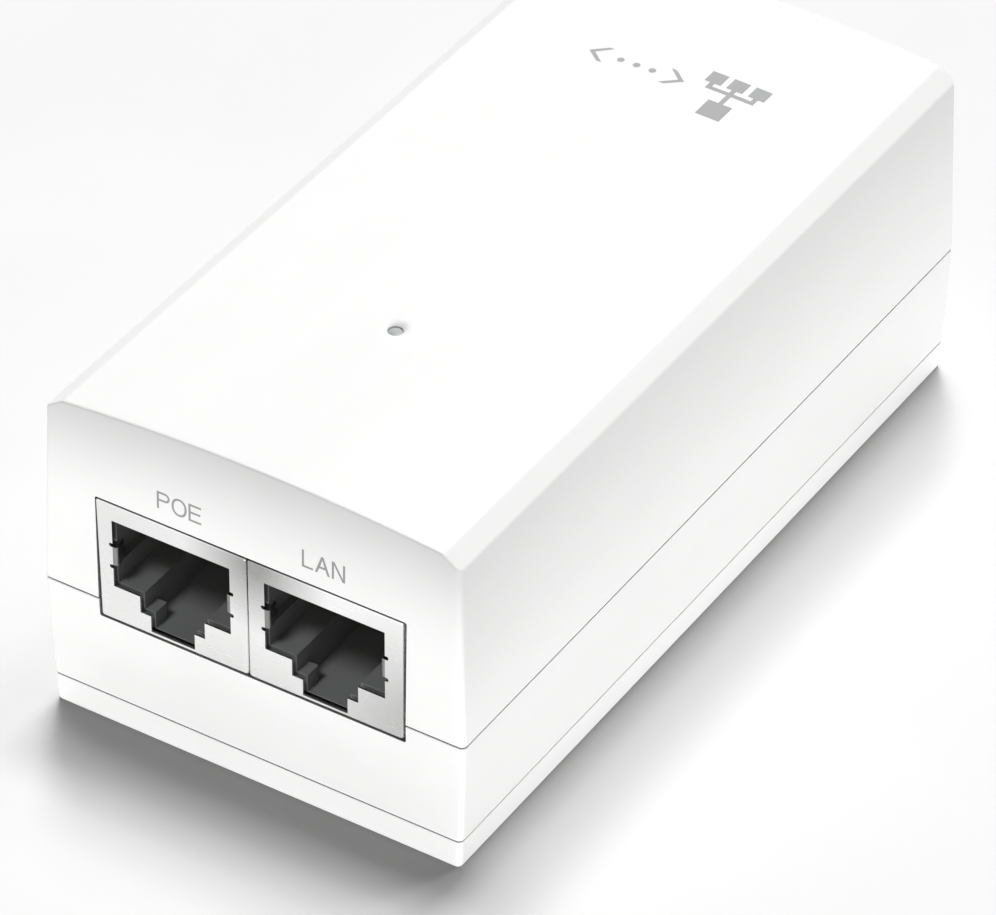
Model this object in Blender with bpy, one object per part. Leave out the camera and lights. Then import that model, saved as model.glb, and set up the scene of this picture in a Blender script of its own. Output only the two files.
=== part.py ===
"""A PoE injector: a small mains adapter that adds power to a network cable.

A white clamshell case holds a shielded pair of 8P8C jacks at the front, a mains inlet
at the back and an isolated power supply between them. It clips onto a wall bracket.

Frame: +Z up, the jacks face -Y, the mains inlet faces +Y. The origin is the centre of
the bracket's underside. Sizes are in millimetres and become metres in new_object().
"""

import math

import bmesh
import bpy
from mathutils import Matrix, Vector

MM = 0.001

# ---- driving dimensions -------------------------------------------------------------
LENGTH = 86.3
WIDTH = 43.7
HEIGHT = 35.1
PARTING_Z = 14.0  # where the two case halves meet, the widest and longest section
BRACKET_HEIGHT = 3.0
SHOULDER_Z = 32.9  # top of the side walls
ROOF_EDGE_Z = 34.15  # top of the chamfer along each long side
ROOF_EDGE_X = 19.4
SHOULDER_HALF = (21.19, 42.76)  # half width and half length at the shoulder
FLOOR_HALF = (21.46, 42.96)  # the same at the underside of the case
BASE_HALF = (21.3, 42.86)  # and at the underside of the bracket
CORNER_RADIUS = 0.55
GAP = 0.25  # between touching pieces
WALL = 1.9

# Cavity of the case, and the tongue that locates one half in the other.
CAVITY_HALF = (19.9, 41.2)
CAVITY_FLOOR_Z = 5.2
CAVITY_ROOF_Z = 33.1
TONGUE_WIDTH = 0.8
TONGUE_DEPTH = 1.05
CASE_FLOOR_Z = BRACKET_HEIGHT + GAP

# Screws that hold the case together, driven from below.
SCREWS_XY = [(-17.15, -19.0), (17.15, -19.0), (-17.15, 35.8), (17.15, 35.8)]
SCREW_SHANK_R = 1.25
SCREW_HOLE_R = 1.6
SCREW_HEAD_R = 2.4
SCREW_HEAD_Z = (3.9, 5.7)
SCREW_TIP_Z = 20.0
BOSS_R = 2.45

# Circuit board.
BOARD_Z = (10.45, 12.05)
BOARD_HALF_X = 19.3
BOARD_Y = (-40.9, 21.9)

# 8P8C jacks.
JACK_PITCH = 15.88
JACKS_X = -0.3  # middle of the pair of jacks
JACK_WIDTH = 15.6
JACK_Z = (BOARD_Z[1] + GAP, 25.2)
JACK_FACE_Y = -43.02
JACK_BACK_Y = -25.1
SHEET = 0.35  # thickness of the shield
PORT_HALF = 6.15
PORT_Z = (16.05, 23.35)  # floor beside the latch slot, and ceiling
LATCH_HALF = 3.4
LATCH_Z = 14.3
KEY_HALF = 2.3
KEY_Z = 12.6
PORT_DEPTH = 12.0
LATCH_LIP = 1.7  # depth of the stepped lip at the mouth
CONTACTS = 8
CONTACT_PITCH = 1.02
CONTACT_WIDTH = 0.4
CONTACT_THICKNESS = 0.3
CONTACT_PIVOT = (-41.1, 23.95)  # y and z of the line that the contacts flex about
CONTACT_REACH = 8.2
CONTACT_DROP = math.radians(18)

# Status light.
LED_XY = (0.0, -19.9)
LED_HOLE_R = 0.9
LED_PIPE_R = 0.62

# Mains inlet, IEC 60320 C14 in shape.
INLET_HALF_X = 13.7
INLET_Z = (7.7, 27.5)
INLET_CHAMFER = 4.8
INLET_FACE_Y = 43.02
INLET_BACK_Y = 23.2
INLET_DEPTH = 16.5
INLET_RIM = 1.4
INLET_FLANGE_Y = (39.2, 40.6)
BLADE = (2.0, 4.0)  # width and height of a blade
LIVE_BLADE_X = 7.0
LIVE_BLADE_Z = 15.6
EARTH_BLADE_Z = 19.6

# Bracket: hooks that slide into undercut pockets in the case's floor.
HOOKS_XY = [(-13.0, -28.0), (13.0, -28.0), (-13.0, 24.0), (13.0, 24.0)]
HOOK_WIDTH = 4.0
HOOK_POST = 2.4
HOOK_TOE = 3.0
HOOK_TOP_Z = 5.3
HOOK_TOE_Z = 4.5
SLIDE_TRAVEL = 4.0
BRACKET_FLOOR = 1.6
WALL_SCREW_Y = 30.0
WALL_SCREW_R = 2.1
WALL_SCREW_HEAD_R = 4.0


# ---- making solids ------------------------------------------------------------------
def new_object(name, bm):
    """A mesh object in metres from a bmesh in millimetres, with its normals facing out."""
    bmesh.ops.recalc_face_normals(bm, faces=bm.faces)
    bm.transform(Matrix.Scale(MM, 4))
    mesh = bpy.data.meshes.new(name)
    bm.to_mesh(mesh)
    bm.free()
    obj = bpy.data.objects.new(name, mesh)
    bpy.context.scene.collection.objects.link(obj)
    return obj


def loft(rings, name="loft"):
    """A closed solid through rings of 3-D points that all have the same count."""
    bm = bmesh.new()
    rows = [[bm.verts.new(point) for point in ring] for ring in rings]
    count = len(rows[0])
    for low, high in zip(rows, rows[1:]):
        for i in range(count):
            j = (i + 1) % count
            bm.faces.new((low[i], low[j], high[j], high[i]))
    bm.faces.new(rows[0])
    bm.faces.new(rows[-1])
    return new_object(name, bm)


def prism(outline, axis, start, end, name="prism"):
    """An outline extruded along an axis: (x, y) along z, (x, z) along y, (y, z) along x."""
    place = {
        "x": lambda u, v, w: (w, u, v),
        "y": lambda u, v, w: (u, w, v),
        "z": lambda u, v, w: (u, v, w),
    }[axis]
    return loft([[place(u, v, w) for u, v in outline] for w in (start, end)], name)


def box(x, y, z, name="box"):
    """A block from its (low, high) pairs along x, y and z."""
    return prism([(x[0], y[0]), (x[1], y[0]), (x[1], y[1]), (x[0], y[1])], "z", z[0], z[1], name)


def circle(radius, segments, centre=(0.0, 0.0)):
    """Points of a circle, with a flat side towards each axis."""
    points = []
    for i in range(segments):
        angle = math.tau * (i + 0.5) / segments
        points.append((centre[0] + radius * math.cos(angle), centre[1] + radius * math.sin(angle)))
    return points


def turned(profile, centre, segments=20, axis="z", name="turned"):
    """A solid of revolution. The profile lists (radius, position along the axis)."""
    rings = []
    for radius, w in profile:
        ring = []
        for u, v in circle(radius, segments, centre):
            ring.append((u, v, w) if axis == "z" else (u, w, v) if axis == "y" else (w, u, v))
        rings.append(ring)
    return loft(rings, name)


def cylinder(centre, radius, start, end, segments=20, axis="z", name="cylinder"):
    return turned([(radius, start), (radius, end)], centre, segments, axis, name)


def rounded_rectangle(half_x, half_y, radius, segments=3):
    """Points of a rectangle centred on the axis, with round corners."""
    points = []
    for quarter, (sx, sy) in enumerate([(1, 1), (-1, 1), (-1, -1), (1, -1)]):
        for i in range(segments + 1):
            angle = math.pi / 2 * (quarter + i / segments)
            points.append(
                (
                    sx * (half_x - radius) + radius * math.cos(angle),
                    sy * (half_y - radius) + radius * math.sin(angle),
                )
            )
    return points


def tapered_block(low_half, low_z, high_half, high_z, radius=CORNER_RADIUS):
    """A block whose walls lean evenly from one rectangle to another above it."""
    rings = []
    for half, z in ((low_half, low_z), (high_half, high_z)):
        rings.append([(x, y, z) for x, y in rounded_rectangle(half[0], half[1], radius)])
    return loft(rings)


def between(low, high, share):
    """Straight interpolation between two pairs."""
    return tuple(a + (b - a) * share for a, b in zip(low, high))


def combine(target, tools, operation):
    """Applies a Boolean of the target with each tool in turn, and removes the tools."""
    for tool in tools:
        modifier = target.modifiers.new(operation.lower(), "BOOLEAN")
        modifier.object = tool
        modifier.operation = operation
        modifier.solver = "EXACT"
        graph = bpy.context.evaluated_depsgraph_get()
        mesh = bpy.data.meshes.new_from_object(target.evaluated_get(graph))
        target.modifiers.clear()
        old_mesh = target.data
        target.data = mesh
        bpy.data.meshes.remove(old_mesh)
        bpy.data.objects.remove(tool)
    return target


def cut(target, *tools):
    return combine(target, tools, "DIFFERENCE")


def fuse(target, *tools):
    return combine(target, tools, "UNION")


def common(target, *tools):
    return combine(target, tools, "INTERSECT")


def bent_strip(path, thickness):
    """The outline of a strip of even thickness that follows a path, with mitred bends."""
    points = [Vector(p) for p in path]
    steps = [(b - a).normalized() for a, b in zip(points, points[1:])]
    left, right = [], []
    for i, point in enumerate(points):
        before = steps[max(i - 1, 0)]
        after = steps[min(i, len(steps) - 1)]
        along = (before + after).normalized()
        normal = Vector((-along.y, along.x))
        reach = thickness / 2 / max(along.dot(after), 0.3)
        left.append(tuple(point + normal * reach))
        right.append(tuple(point - normal * reach))
    return left + right[::-1]


# ---- materials and groups -----------------------------------------------------------
def principled(name, colour, roughness, metallic=0.0):
    material = bpy.data.materials.new(name)
    material.use_nodes = True
    shader = material.node_tree.nodes["Principled BSDF"]
    shader.inputs["Base Color"].default_value = (*colour, 1.0)
    shader.inputs["Roughness"].default_value = roughness
    shader.inputs["Metallic"].default_value = metallic
    material.diffuse_color = (*colour, 1.0)
    return material


def make_materials():
    return {
        "case_plastic": principled("case_plastic", (0.88, 0.88, 0.87), 0.38),
        "bracket_plastic": principled("bracket_plastic", (0.88, 0.88, 0.87), 0.42),
        "plated_steel": principled("plated_steel", (0.78, 0.78, 0.77), 0.28, 1.0),
        "black_plastic": principled("black_plastic", (0.03, 0.03, 0.032), 0.45),
        "gold_contact": principled("gold_contact", (0.83, 0.62, 0.26), 0.25, 1.0),
        "light_pipe": principled("light_pipe", (0.7, 0.72, 0.72), 0.15),
        "board": principled("board", (0.04, 0.22, 0.1), 0.5),
        "ferrite": principled("ferrite", (0.09, 0.09, 0.1), 0.6),
        "winding_tape": principled("winding_tape", (0.85, 0.66, 0.12), 0.45),
        "copper": principled("copper", (0.72, 0.35, 0.16), 0.35, 1.0),
        "capacitor_sleeve": principled("capacitor_sleeve", (0.06, 0.07, 0.16), 0.35),
        "film_capacitor": principled("film_capacitor", (0.75, 0.6, 0.12), 0.4),
        "ceramic_disc": principled("ceramic_disc", (0.1, 0.3, 0.6), 0.4),
        "chip_package": principled("chip_package", (0.035, 0.035, 0.04), 0.5),
        "aluminium": principled("aluminium", (0.75, 0.76, 0.77), 0.4, 1.0),
        "insulation": principled("insulation", (0.8, 0.78, 0.7), 0.6),
        "zinc_steel": principled("zinc_steel", (0.6, 0.6, 0.62), 0.35, 1.0),
    }


def smooth(obj, degrees=35):
    obj.data.shade_smooth()
    obj.data.set_sharp_from_angle(angle=math.radians(degrees))


def place(obj, name, material, parent, origin=(0.0, 0.0, 0.0)):
    """Names a finished solid, puts its origin where it turns or stands, and parents it."""
    obj.name = name
    obj.data.name = name
    obj.data.materials.clear()
    obj.data.materials.append(material)
    offset = Vector(origin) * MM
    obj.data.transform(Matrix.Translation(-offset))
    obj.location = offset - parent.location
    obj.parent = parent
    smooth(obj)
    return obj


def group(name, origin=(0.0, 0.0, 0.0)):
    """An empty that stands for one rigid body."""
    empty = bpy.data.objects.new(name, None)
    empty.empty_display_size = 0.01
    empty.location = Vector(origin) * MM
    bpy.context.scene.collection.objects.link(empty)
    return empty


# ---- case ---------------------------------------------------------------------------
def roof_profile(base_z):
    """Outline in x and z of the case above base_z: leaning sides, chamfers, low crown."""
    side = 2.0  # past the walls, which cut this outline back
    rise = HEIGHT - ROOF_EDGE_Z
    radius = (ROOF_EDGE_X**2 + rise**2) / (2 * rise)
    half_angle = math.asin(ROOF_EDGE_X / radius)
    steps = 14
    outline = [(-WIDTH / 2 - side, base_z), (WIDTH / 2 + side, base_z)]
    slope = (ROOF_EDGE_Z - SHOULDER_Z) / (SHOULDER_HALF[0] - ROOF_EDGE_X)
    outer_z = SHOULDER_Z - slope * (WIDTH / 2 + side - SHOULDER_HALF[0])
    outline.append((WIDTH / 2 + side, outer_z))
    for i in range(steps + 1):
        angle = half_angle * (1 - 2 * i / steps)
        x = radius * math.sin(angle)
        outline.append((x, HEIGHT - radius + radius * math.cos(angle)))
    outline.append((-WIDTH / 2 - side, outer_z))
    return outline


def inlet_outline(grow=0.0):
    """Outline in x and z of the mains inlet: a rectangle with its upper corners cut off."""
    half = INLET_HALF_X + grow
    low, high = INLET_Z[0] - grow, INLET_Z[1] + grow
    corner = INLET_CHAMFER + grow * (math.sqrt(2) - 1)
    return [
        (-half, low),
        (half, low),
        (half, high - corner),
        (half - corner, high),
        (corner - half, high),
        (-half, high - corner),
    ]


def front_window(low_z):
    """Cutter for the opening that the two jacks fill, open towards the parting line."""
    half = JACK_PITCH / 2 + JACK_WIDTH / 2 + GAP
    x = (JACKS_X - half, JACKS_X + half)
    return box(x, (-LENGTH / 2 - 1, -CAVITY_HALF[1] + 0.8), (low_z, JACK_Z[1] + GAP))


def rear_window():
    return prism(inlet_outline(GAP), "y", CAVITY_HALF[1] - 0.8, LENGTH / 2 + 1)


def make_top_cover():
    low_half = (WIDTH / 2, LENGTH / 2)
    above = 3.0
    share = (SHOULDER_Z + above - PARTING_Z) / (SHOULDER_Z - PARTING_Z)
    bottom = between(low_half, SHOULDER_HALF, (GAP / 2) / (SHOULDER_Z - PARTING_Z))
    top = between(low_half, SHOULDER_HALF, share)
    cover = tapered_block(bottom, PARTING_Z + GAP / 2, top, SHOULDER_Z + above)
    common(cover, prism(roof_profile(PARTING_Z - 1), "y", -LENGTH, LENGTH))

    reach = (CAVITY_HALF[0] + TONGUE_WIDTH, CAVITY_HALF[1] + TONGUE_WIDTH)
    tongue = tapered_block(reach, PARTING_Z - TONGUE_DEPTH, reach, PARTING_Z + 1.5)
    fuse(cover, tongue)

    low_x, low_y = CAVITY_HALF
    rings = []
    for half_x, half_y, z in (
        (low_x, low_y, PARTING_Z - 3),
        (low_x, low_y, PARTING_Z),
        (SHOULDER_HALF[0] - WALL, low_y - 0.3, CAVITY_ROOF_Z - 1.5),
        (SHOULDER_HALF[0] - WALL - 1.2, low_y - 0.3, CAVITY_ROOF_Z),
    ):
        rings.append([(x, y, z) for x, y in rounded_rectangle(half_x, half_y, 1.0, 2)])
    cut(cover, loft(rings))

    for x, y in SCREWS_XY:
        foot = BOARD_Z[1] + GAP if y < BOARD_Y[1] else PARTING_Z + 0.1
        side = math.copysign(1, x)
        web = (x, side * (CAVITY_HALF[0] + 0.4)) if side > 0 else (-CAVITY_HALF[0] - 0.4, x)
        fuse(
            cover,
            cylinder((x, y), BOSS_R, foot, CAVITY_ROOF_Z + 0.5),
            box(web, (y - 0.9, y + 0.9), (PARTING_Z + 0.4, CAVITY_ROOF_Z + 0.4)),
        )
        cut(cover, cylinder((x, y), SCREW_HOLE_R, foot - 3, SCREW_TIP_Z + 1.2, 16))
    for side in (-1, 1):
        span = sorted((side * (INLET_HALF_X + 0.3), side * (CAVITY_HALF[0] + 0.3)))
        fuse(cover, box(span, (37.3, INLET_FLANGE_Y[0] - GAP), (20.0, CAVITY_ROOF_Z + 0.3)))

    cut(cover, front_window(PARTING_Z - 3), rear_window())

    fuse(cover, cylinder(LED_XY, 2.7, 28.5, CAVITY_ROOF_Z + 0.6))
    dimple_depth = 0.45
    cut(
        cover,
        cylinder(LED_XY, 1.75, 27.0, CAVITY_ROOF_Z + 0.1, 16),
        turned(
            [
                (LED_HOLE_R, CAVITY_ROOF_Z - 1),
                (LED_HOLE_R, HEIGHT - dimple_depth),
                (1.7, HEIGHT + 0.02),
                (1.7, HEIGHT + 1),
            ],
            LED_XY,
            24,
        ),
    )
    return cover


def hook_pocket(x, y):
    """Cutters for one undercut pocket: the way in from below, and the room for the toe."""
    side = HOOK_WIDTH / 2 + 0.4
    entry = box(
        (x - side, x + side),
        (y - SLIDE_TRAVEL - 0.35, y + HOOK_POST + 0.3),
        (CASE_FLOOR_Z - 1, HOOK_TOP_Z + 0.35),
    )
    undercut = box(
        (x - side, x + side),
        (y, y + HOOK_POST + HOOK_TOE + 0.4),
        (HOOK_TOE_Z - 0.3, HOOK_TOP_Z + 0.35),
    )
    return entry, undercut


def make_bottom_case():
    top = (WIDTH / 2, LENGTH / 2)
    case = tapered_block(FLOOR_HALF, CASE_FLOOR_Z, top, PARTING_Z - GAP / 2)
    x, y = CAVITY_HALF
    cut(case, box((-x, x), (-y, y), (CAVITY_FLOOR_Z, PARTING_Z + 1)))

    for px, py in SCREWS_XY:
        head = BOARD_Z[0] - GAP if py < BOARD_Y[1] else PARTING_Z - 0.2
        side = math.copysign(1, px)
        web = (px, side * (x + 0.4)) if side > 0 else (-x - 0.4, px)
        fuse(
            case,
            cylinder((px, py), BOSS_R + 0.7, CAVITY_FLOOR_Z - 0.6, head),
            box(web, (py - 0.9, py + 0.9), (CAVITY_FLOOR_Z - 0.5, head - 0.6)),
        )
    for side in (-1, 1):
        shelf = BOARD_Z[0] - GAP
        for y0, y1 in ((-y - 0.3, -38.4), (16.8, 20.2)):
            span = sorted((side * 16.8, side * (x + 0.3)))
            fuse(case, box(span, (y0, y1), (CAVITY_FLOOR_Z - 0.4, shelf)))
        span = sorted((side * (INLET_HALF_X + 0.3), side * (x + 0.3)))
        cradle = (37.3, INLET_FLANGE_Y[0] - GAP)
        fuse(case, box(span, cradle, (CAVITY_FLOOR_Z - 0.3, PARTING_Z - 1.6)))

    reach = (x + TONGUE_WIDTH + GAP, y + TONGUE_WIDTH + GAP)
    rebate = tapered_block(reach, PARTING_Z - TONGUE_DEPTH - GAP, reach, PARTING_Z + 1)
    inner = (x - 0.2, y - 0.2)
    keep = tapered_block(inner, PARTING_Z - 3, inner, PARTING_Z + 2)
    cut(case, cut(rebate, keep))

    for hx, hy in HOOKS_XY:
        half = HOOK_WIDTH / 2 + 1.4
        span_y = (hy - SLIDE_TRAVEL - 1.4, hy + HOOK_POST + HOOK_TOE + 1.6)
        fuse(case, box((hx - half, hx + half), span_y, (CAVITY_FLOOR_Z - 0.7, HOOK_TOP_Z + 1.6)))
        cut(case, *hook_pocket(hx, hy))
    for px, py in SCREWS_XY:
        cut(
            case,
            cylinder((px, py), SCREW_HEAD_R + 0.3, CASE_FLOOR_Z - 1, SCREW_HEAD_Z[1] + GAP),
            cylinder((px, py), SCREW_HOLE_R, CASE_FLOOR_Z - 1, PARTING_Z + 1, 16),
        )
    channel_y = (36.0 - SLIDE_TRAVEL - 1.6, 37.6)
    channel = box((-1.3, 1.3), channel_y, (CASE_FLOOR_Z - 1, CASE_FLOOR_Z + 0.7))
    cut(case, channel, front_window(BOARD_Z[1]), rear_window())
    return case


def make_case_screw(x, y):
    head_low, head_high = SCREW_HEAD_Z
    screw = turned(
        [
            (SCREW_HEAD_R - 0.5, head_low),
            (SCREW_HEAD_R, head_low + 0.6),
            (SCREW_HEAD_R, head_high),
            (SCREW_SHANK_R, head_high + 0.01),
            (SCREW_SHANK_R, SCREW_TIP_Z - 1.2),
            (0.35, SCREW_TIP_Z),
        ],
        (x, y),
        16,
    )
    slot, arm, deep = 0.32, 1.3, head_low + 0.9
    for half_x, half_y in ((arm, slot), (slot, arm)):
        cut(screw, box((x - half_x, x + half_x), (y - half_y, y + half_y), (head_low - 1, deep)))
    return screw


# ---- bracket ------------------------------------------------------------------------
def make_wall_bracket():
    foot = 0.3
    rings = []
    for (half_x, half_y), z in (
        ((BASE_HALF[0] - foot, BASE_HALF[1] - foot), 0.0),
        (BASE_HALF, foot),
        ((FLOOR_HALF[0] - 0.04, FLOOR_HALF[1] - 0.04), BRACKET_HEIGHT),
    ):
        rings.append([(x, y, z) for x, y in rounded_rectangle(half_x, half_y, CORNER_RADIUS)])
    bracket = loft(rings)
    rim = 1.5
    inner = (FLOOR_HALF[0] - rim, FLOOR_HALF[1] - rim)
    cut(bracket, tapered_block(inner, BRACKET_FLOOR, inner, BRACKET_HEIGHT + 1, 1.0))

    rib, rib_top = 0.6, BRACKET_HEIGHT - 0.2
    for x in (-7.0, 7.0):
        fuse(bracket, box((x - rib, x + rib), (-42.0, 42.0), (BRACKET_FLOOR - 0.5, rib_top)))
    for y in (-18.0, 0.0, 18.0):
        fuse(bracket, box((-20.5, 20.5), (y - rib, y + rib), (BRACKET_FLOOR - 0.4, rib_top - 0.05)))

    for x, y in HOOKS_XY:
        half = HOOK_WIDTH / 2
        outline = [
            (y, BRACKET_FLOOR - 0.6),
            (y + HOOK_POST, BRACKET_FLOOR - 0.6),
            (y + HOOK_POST, HOOK_TOE_Z),
            (y + HOOK_POST + HOOK_TOE - 0.3, HOOK_TOE_Z),
            (y + HOOK_POST + HOOK_TOE, HOOK_TOE_Z + 0.25),
            (y + HOOK_POST + HOOK_TOE, HOOK_TOP_Z),
            (y + 0.5, HOOK_TOP_Z),
            (y, HOOK_TOP_Z - 0.5),
        ]
        fuse(bracket, prism(outline, "x", x - half, x + half))
        window_y = (y + HOOK_POST + 0.05, y + HOOK_POST + HOOK_TOE + 0.4)
        cut(bracket, box((x - half - 0.3, x + half + 0.3), window_y, (-1, BRACKET_FLOOR + 0.1)))

    for y in (-WALL_SCREW_Y, WALL_SCREW_Y):
        pad = cylinder((0, y), WALL_SCREW_HEAD_R + 1.2, BRACKET_FLOOR - 0.7, BRACKET_FLOOR + 0.8, 24)
        fuse(bracket, pad)
        hole = [
            (WALL_SCREW_R, -1),
            (WALL_SCREW_R, 0.7),
            (WALL_SCREW_HEAD_R, BRACKET_FLOOR + 0.82),
            (WALL_SCREW_HEAD_R, BRACKET_FLOOR + 1.5),
        ]
        cut(bracket, turned(hole, (0, y), 24))

    # A springy tongue with a low bump, which runs in a channel in the case's floor.
    tongue_half, slot = 4.2, 0.8
    for x in (-tongue_half, tongue_half):
        cut(bracket, box((x - slot / 2, x + slot / 2), (36.6, 40.2), (-1, BRACKET_FLOOR + 1)))
    cut(bracket, box((-tongue_half - 0.4, tongue_half + 0.4), (39.4, 40.2), (-1, BRACKET_FLOOR + 1)))
    bump = [
        (35.6, BRACKET_FLOOR - 0.5),
        (37.0, BRACKET_FLOOR - 0.5),
        (37.0, BRACKET_HEIGHT + 0.3),
        (36.7, BRACKET_HEIGHT + 0.6),
        (35.9, BRACKET_HEIGHT + 0.6),
        (35.6, BRACKET_HEIGHT + 0.3),
    ]
    return fuse(bracket, prism(bump, "x", -1.0, 1.0))


# ---- jacks --------------------------------------------------------------------------
def port_outline(x, inset=0.0):
    """Outline in x and z of the plug opening: a wide mouth above the stepped latch slot."""
    wide, latch, key = PORT_HALF - inset, LATCH_HALF - inset, KEY_HALF - inset
    floor, step, low = PORT_Z[0] + inset, LATCH_Z + inset, KEY_Z + inset
    ceiling = PORT_Z[1] - inset
    return [
        (x - wide, ceiling),
        (x - wide, floor),
        (x - latch, floor),
        (x - latch, step),
        (x - key, step),
        (x - key, low),
        (x + key, low),
        (x + key, step),
        (x + latch, step),
        (x + latch, floor),
        (x + wide, floor),
        (x + wide, ceiling),
    ]


def contact_x(x, index):
    return x + (index - (CONTACTS - 1) / 2) * CONTACT_PITCH


def pin_xy(x, index):
    """Where a contact's solder pin meets the board: two staggered rows."""
    return contact_x(x, index), -27.0 - (index % 2) * 1.8


def shield_leg_xy(x, side):
    return x + side * (JACK_WIDTH / 2 - SHEET / 2), -34.0


def make_jack_shield(x):
    """A folded can of thin plated steel, open towards the board."""
    half = JACK_WIDTH / 2
    low, high = JACK_Z
    shield = box((x - half, x + half), (JACK_FACE_Y, JACK_BACK_Y), (low, high))
    inside = half - SHEET
    cut(
        shield,
        box(
            (x - inside, x + inside),
            (JACK_FACE_Y + SHEET, JACK_BACK_Y - SHEET),
            (low - 1, high - SHEET),
        ),
        prism(port_outline(x), "y", JACK_FACE_Y - 1, JACK_FACE_Y + 1),
    )
    tab_z = (18.4, 20.4)
    notch = 0.35
    for side in (-1, 1):
        edge = x + side * PORT_HALF
        for z in (tab_z[0] - notch / 2, tab_z[1] + notch / 2):
            notch_x = sorted((edge - side * 0.2, edge + side * 0.3))
            cutter_z = (z - notch / 2, z + notch / 2)
            cut(shield, box(notch_x, (JACK_FACE_Y - 1, JACK_FACE_Y + 1), cutter_z))
        tab = [
            (edge + side * 0.1, JACK_FACE_Y + 0.02),
            (edge - side * 0.2, JACK_FACE_Y + 0.25),
            (edge - side * 0.45, JACK_FACE_Y + 2.2),
            (edge - side * 0.2, JACK_FACE_Y + 2.25),
            (edge + side * 0.05, JACK_FACE_Y + 0.42),
        ]
        fuse(shield, prism(tab, "z", *tab_z))
        leg_x, leg_y = shield_leg_xy(x, side)
        leg = SHEET / 2 - 0.02
        leg_z = (BOARD_Z[0] - 1.4, low + 0.6)
        fuse(shield, box((leg_x - leg, leg_x + leg), (leg_y - 0.8, leg_y + 0.8), leg_z))
    return shield


def make_jack_insert(x):
    """The moulded block inside the shield, with the plug's cavity and a contact comb."""
    half = JACK_WIDTH / 2 - SHEET - GAP
    front = JACK_FACE_Y + SHEET + GAP
    back = front + PORT_DEPTH + 0.6
    insert = box((x - half, x + half), (front, back), (KEY_Z - 0.04, JACK_Z[1] - SHEET - GAP))
    cut(insert, prism(port_outline(x, 0.08), "y", front - 1, front + PORT_DEPTH - 1))
    # Behind the stepped lip, the latch slot is one wide channel.
    wide = LATCH_HALF - 0.08
    channel_y = (front + LATCH_LIP, front + PORT_DEPTH - 1)
    cut(insert, box((x - wide, x + wide), channel_y, (KEY_Z + 0.08, PORT_Z[0] + 1)))
    for side in (-1, 1):
        # A long slot in each cheek makes room for the shield's spring tab.
        relief = sorted((x + side * (PORT_HALF - 1), x + side * (PORT_HALF + 0.72)))
        cut(insert, box(relief, (front - 1, JACK_FACE_Y + 8.6), (18.15, 20.65)))
    mouth = CONTACTS / 2 * CONTACT_PITCH + 0.25
    slot_y = (CONTACT_PIVOT[0] - 0.6, back + 1)
    cut(insert, box((x - mouth, x + mouth), slot_y, (PORT_Z[1] - 0.6, JACK_Z[1])))
    for index in range(CONTACTS - 1):
        rib_x = (contact_x(x, index) + contact_x(x, index + 1)) / 2
        rib = (rib_x - 0.17, rib_x + 0.17)
        fuse(insert, box(rib, (back - 4.0, back - 0.01), (21.9, 23.3)))
    # The comb's top rail joins its ribs to the cheeks, under the run of the fixed leads.
    rail = box((x - mouth - 0.5, x + mouth + 0.5), (back - 1.4, back - 0.02), (22.8, 23.45))
    fuse(insert, rail)
    return insert


def make_contact_carrier(x):
    """The moulding that holds the eight leads, with their runs to the nose and their pins."""
    front = JACK_FACE_Y + SHEET + GAP + PORT_DEPTH + 0.6 + GAP
    back = JACK_BACK_Y - SHEET - GAP
    half = JACK_WIDTH / 2 - SHEET - GAP
    carrier = box((x - half + 1, x + half - 1), (front, back), (13.4, 24.6))
    lead = CONTACT_WIDTH / 2
    for index in range(CONTACTS):
        cx = contact_x(x, index)
        run_y = (CONTACT_PIVOT[0] + 0.1, front + 0.5)
        fuse(carrier, box((cx - lead, cx + lead), run_y, (24.28, 24.58)))
        pin = pin_xy(x, index)
        pin_y = max(pin[1], front + 0.35)
        pin_z = (BOARD_Z[0] - 1.2, 13.8)
        fuse(carrier, box((cx - lead, cx + lead), (pin_y - 0.2, pin_y + 0.2), pin_z))
    return carrier


def make_contact(x, index):
    """One springy finger, sloping down and back from the nose of the jack."""
    y, z = CONTACT_PIVOT
    tip = 0.9
    end_y = y + CONTACT_REACH * math.cos(CONTACT_DROP)
    end_z = z - CONTACT_REACH * math.sin(CONTACT_DROP)
    path = [(y, z), (end_y, end_z), (end_y + tip, end_z + 0.15)]
    cx = contact_x(x, index)
    half = CONTACT_WIDTH / 2
    return prism(bent_strip(path, CONTACT_THICKNESS), "x", cx - half, cx + half)


# ---- mains inlet --------------------------------------------------------------------
def make_inlet_body():
    body = prism(inlet_outline(), "y", INLET_BACK_Y, INLET_FACE_Y)
    fuse(body, prism(inlet_outline(0.9), "y", *INLET_FLANGE_Y))
    cut(body, prism(inlet_outline(-INLET_RIM), "y", INLET_FACE_Y - INLET_DEPTH, INLET_FACE_Y + 1))
    margin = 0.2
    for x, z in blade_centres():
        half_x, half_z = BLADE[0] / 2 + margin, BLADE[1] / 2 + margin
        hole = box((x - half_x, x + half_x), (INLET_BACK_Y - 1, 30.0), (z - half_z, z + half_z))
        cut(body, hole)
    return body


def blade_centres():
    return [(-LIVE_BLADE_X, LIVE_BLADE_Z), (LIVE_BLADE_X, LIVE_BLADE_Z), (0.0, EARTH_BLADE_Z)]


def blade_tail_y(x):
    """The earth blade's tail stands in front of the other two."""
    return 19.6 if x else 17.2


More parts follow.
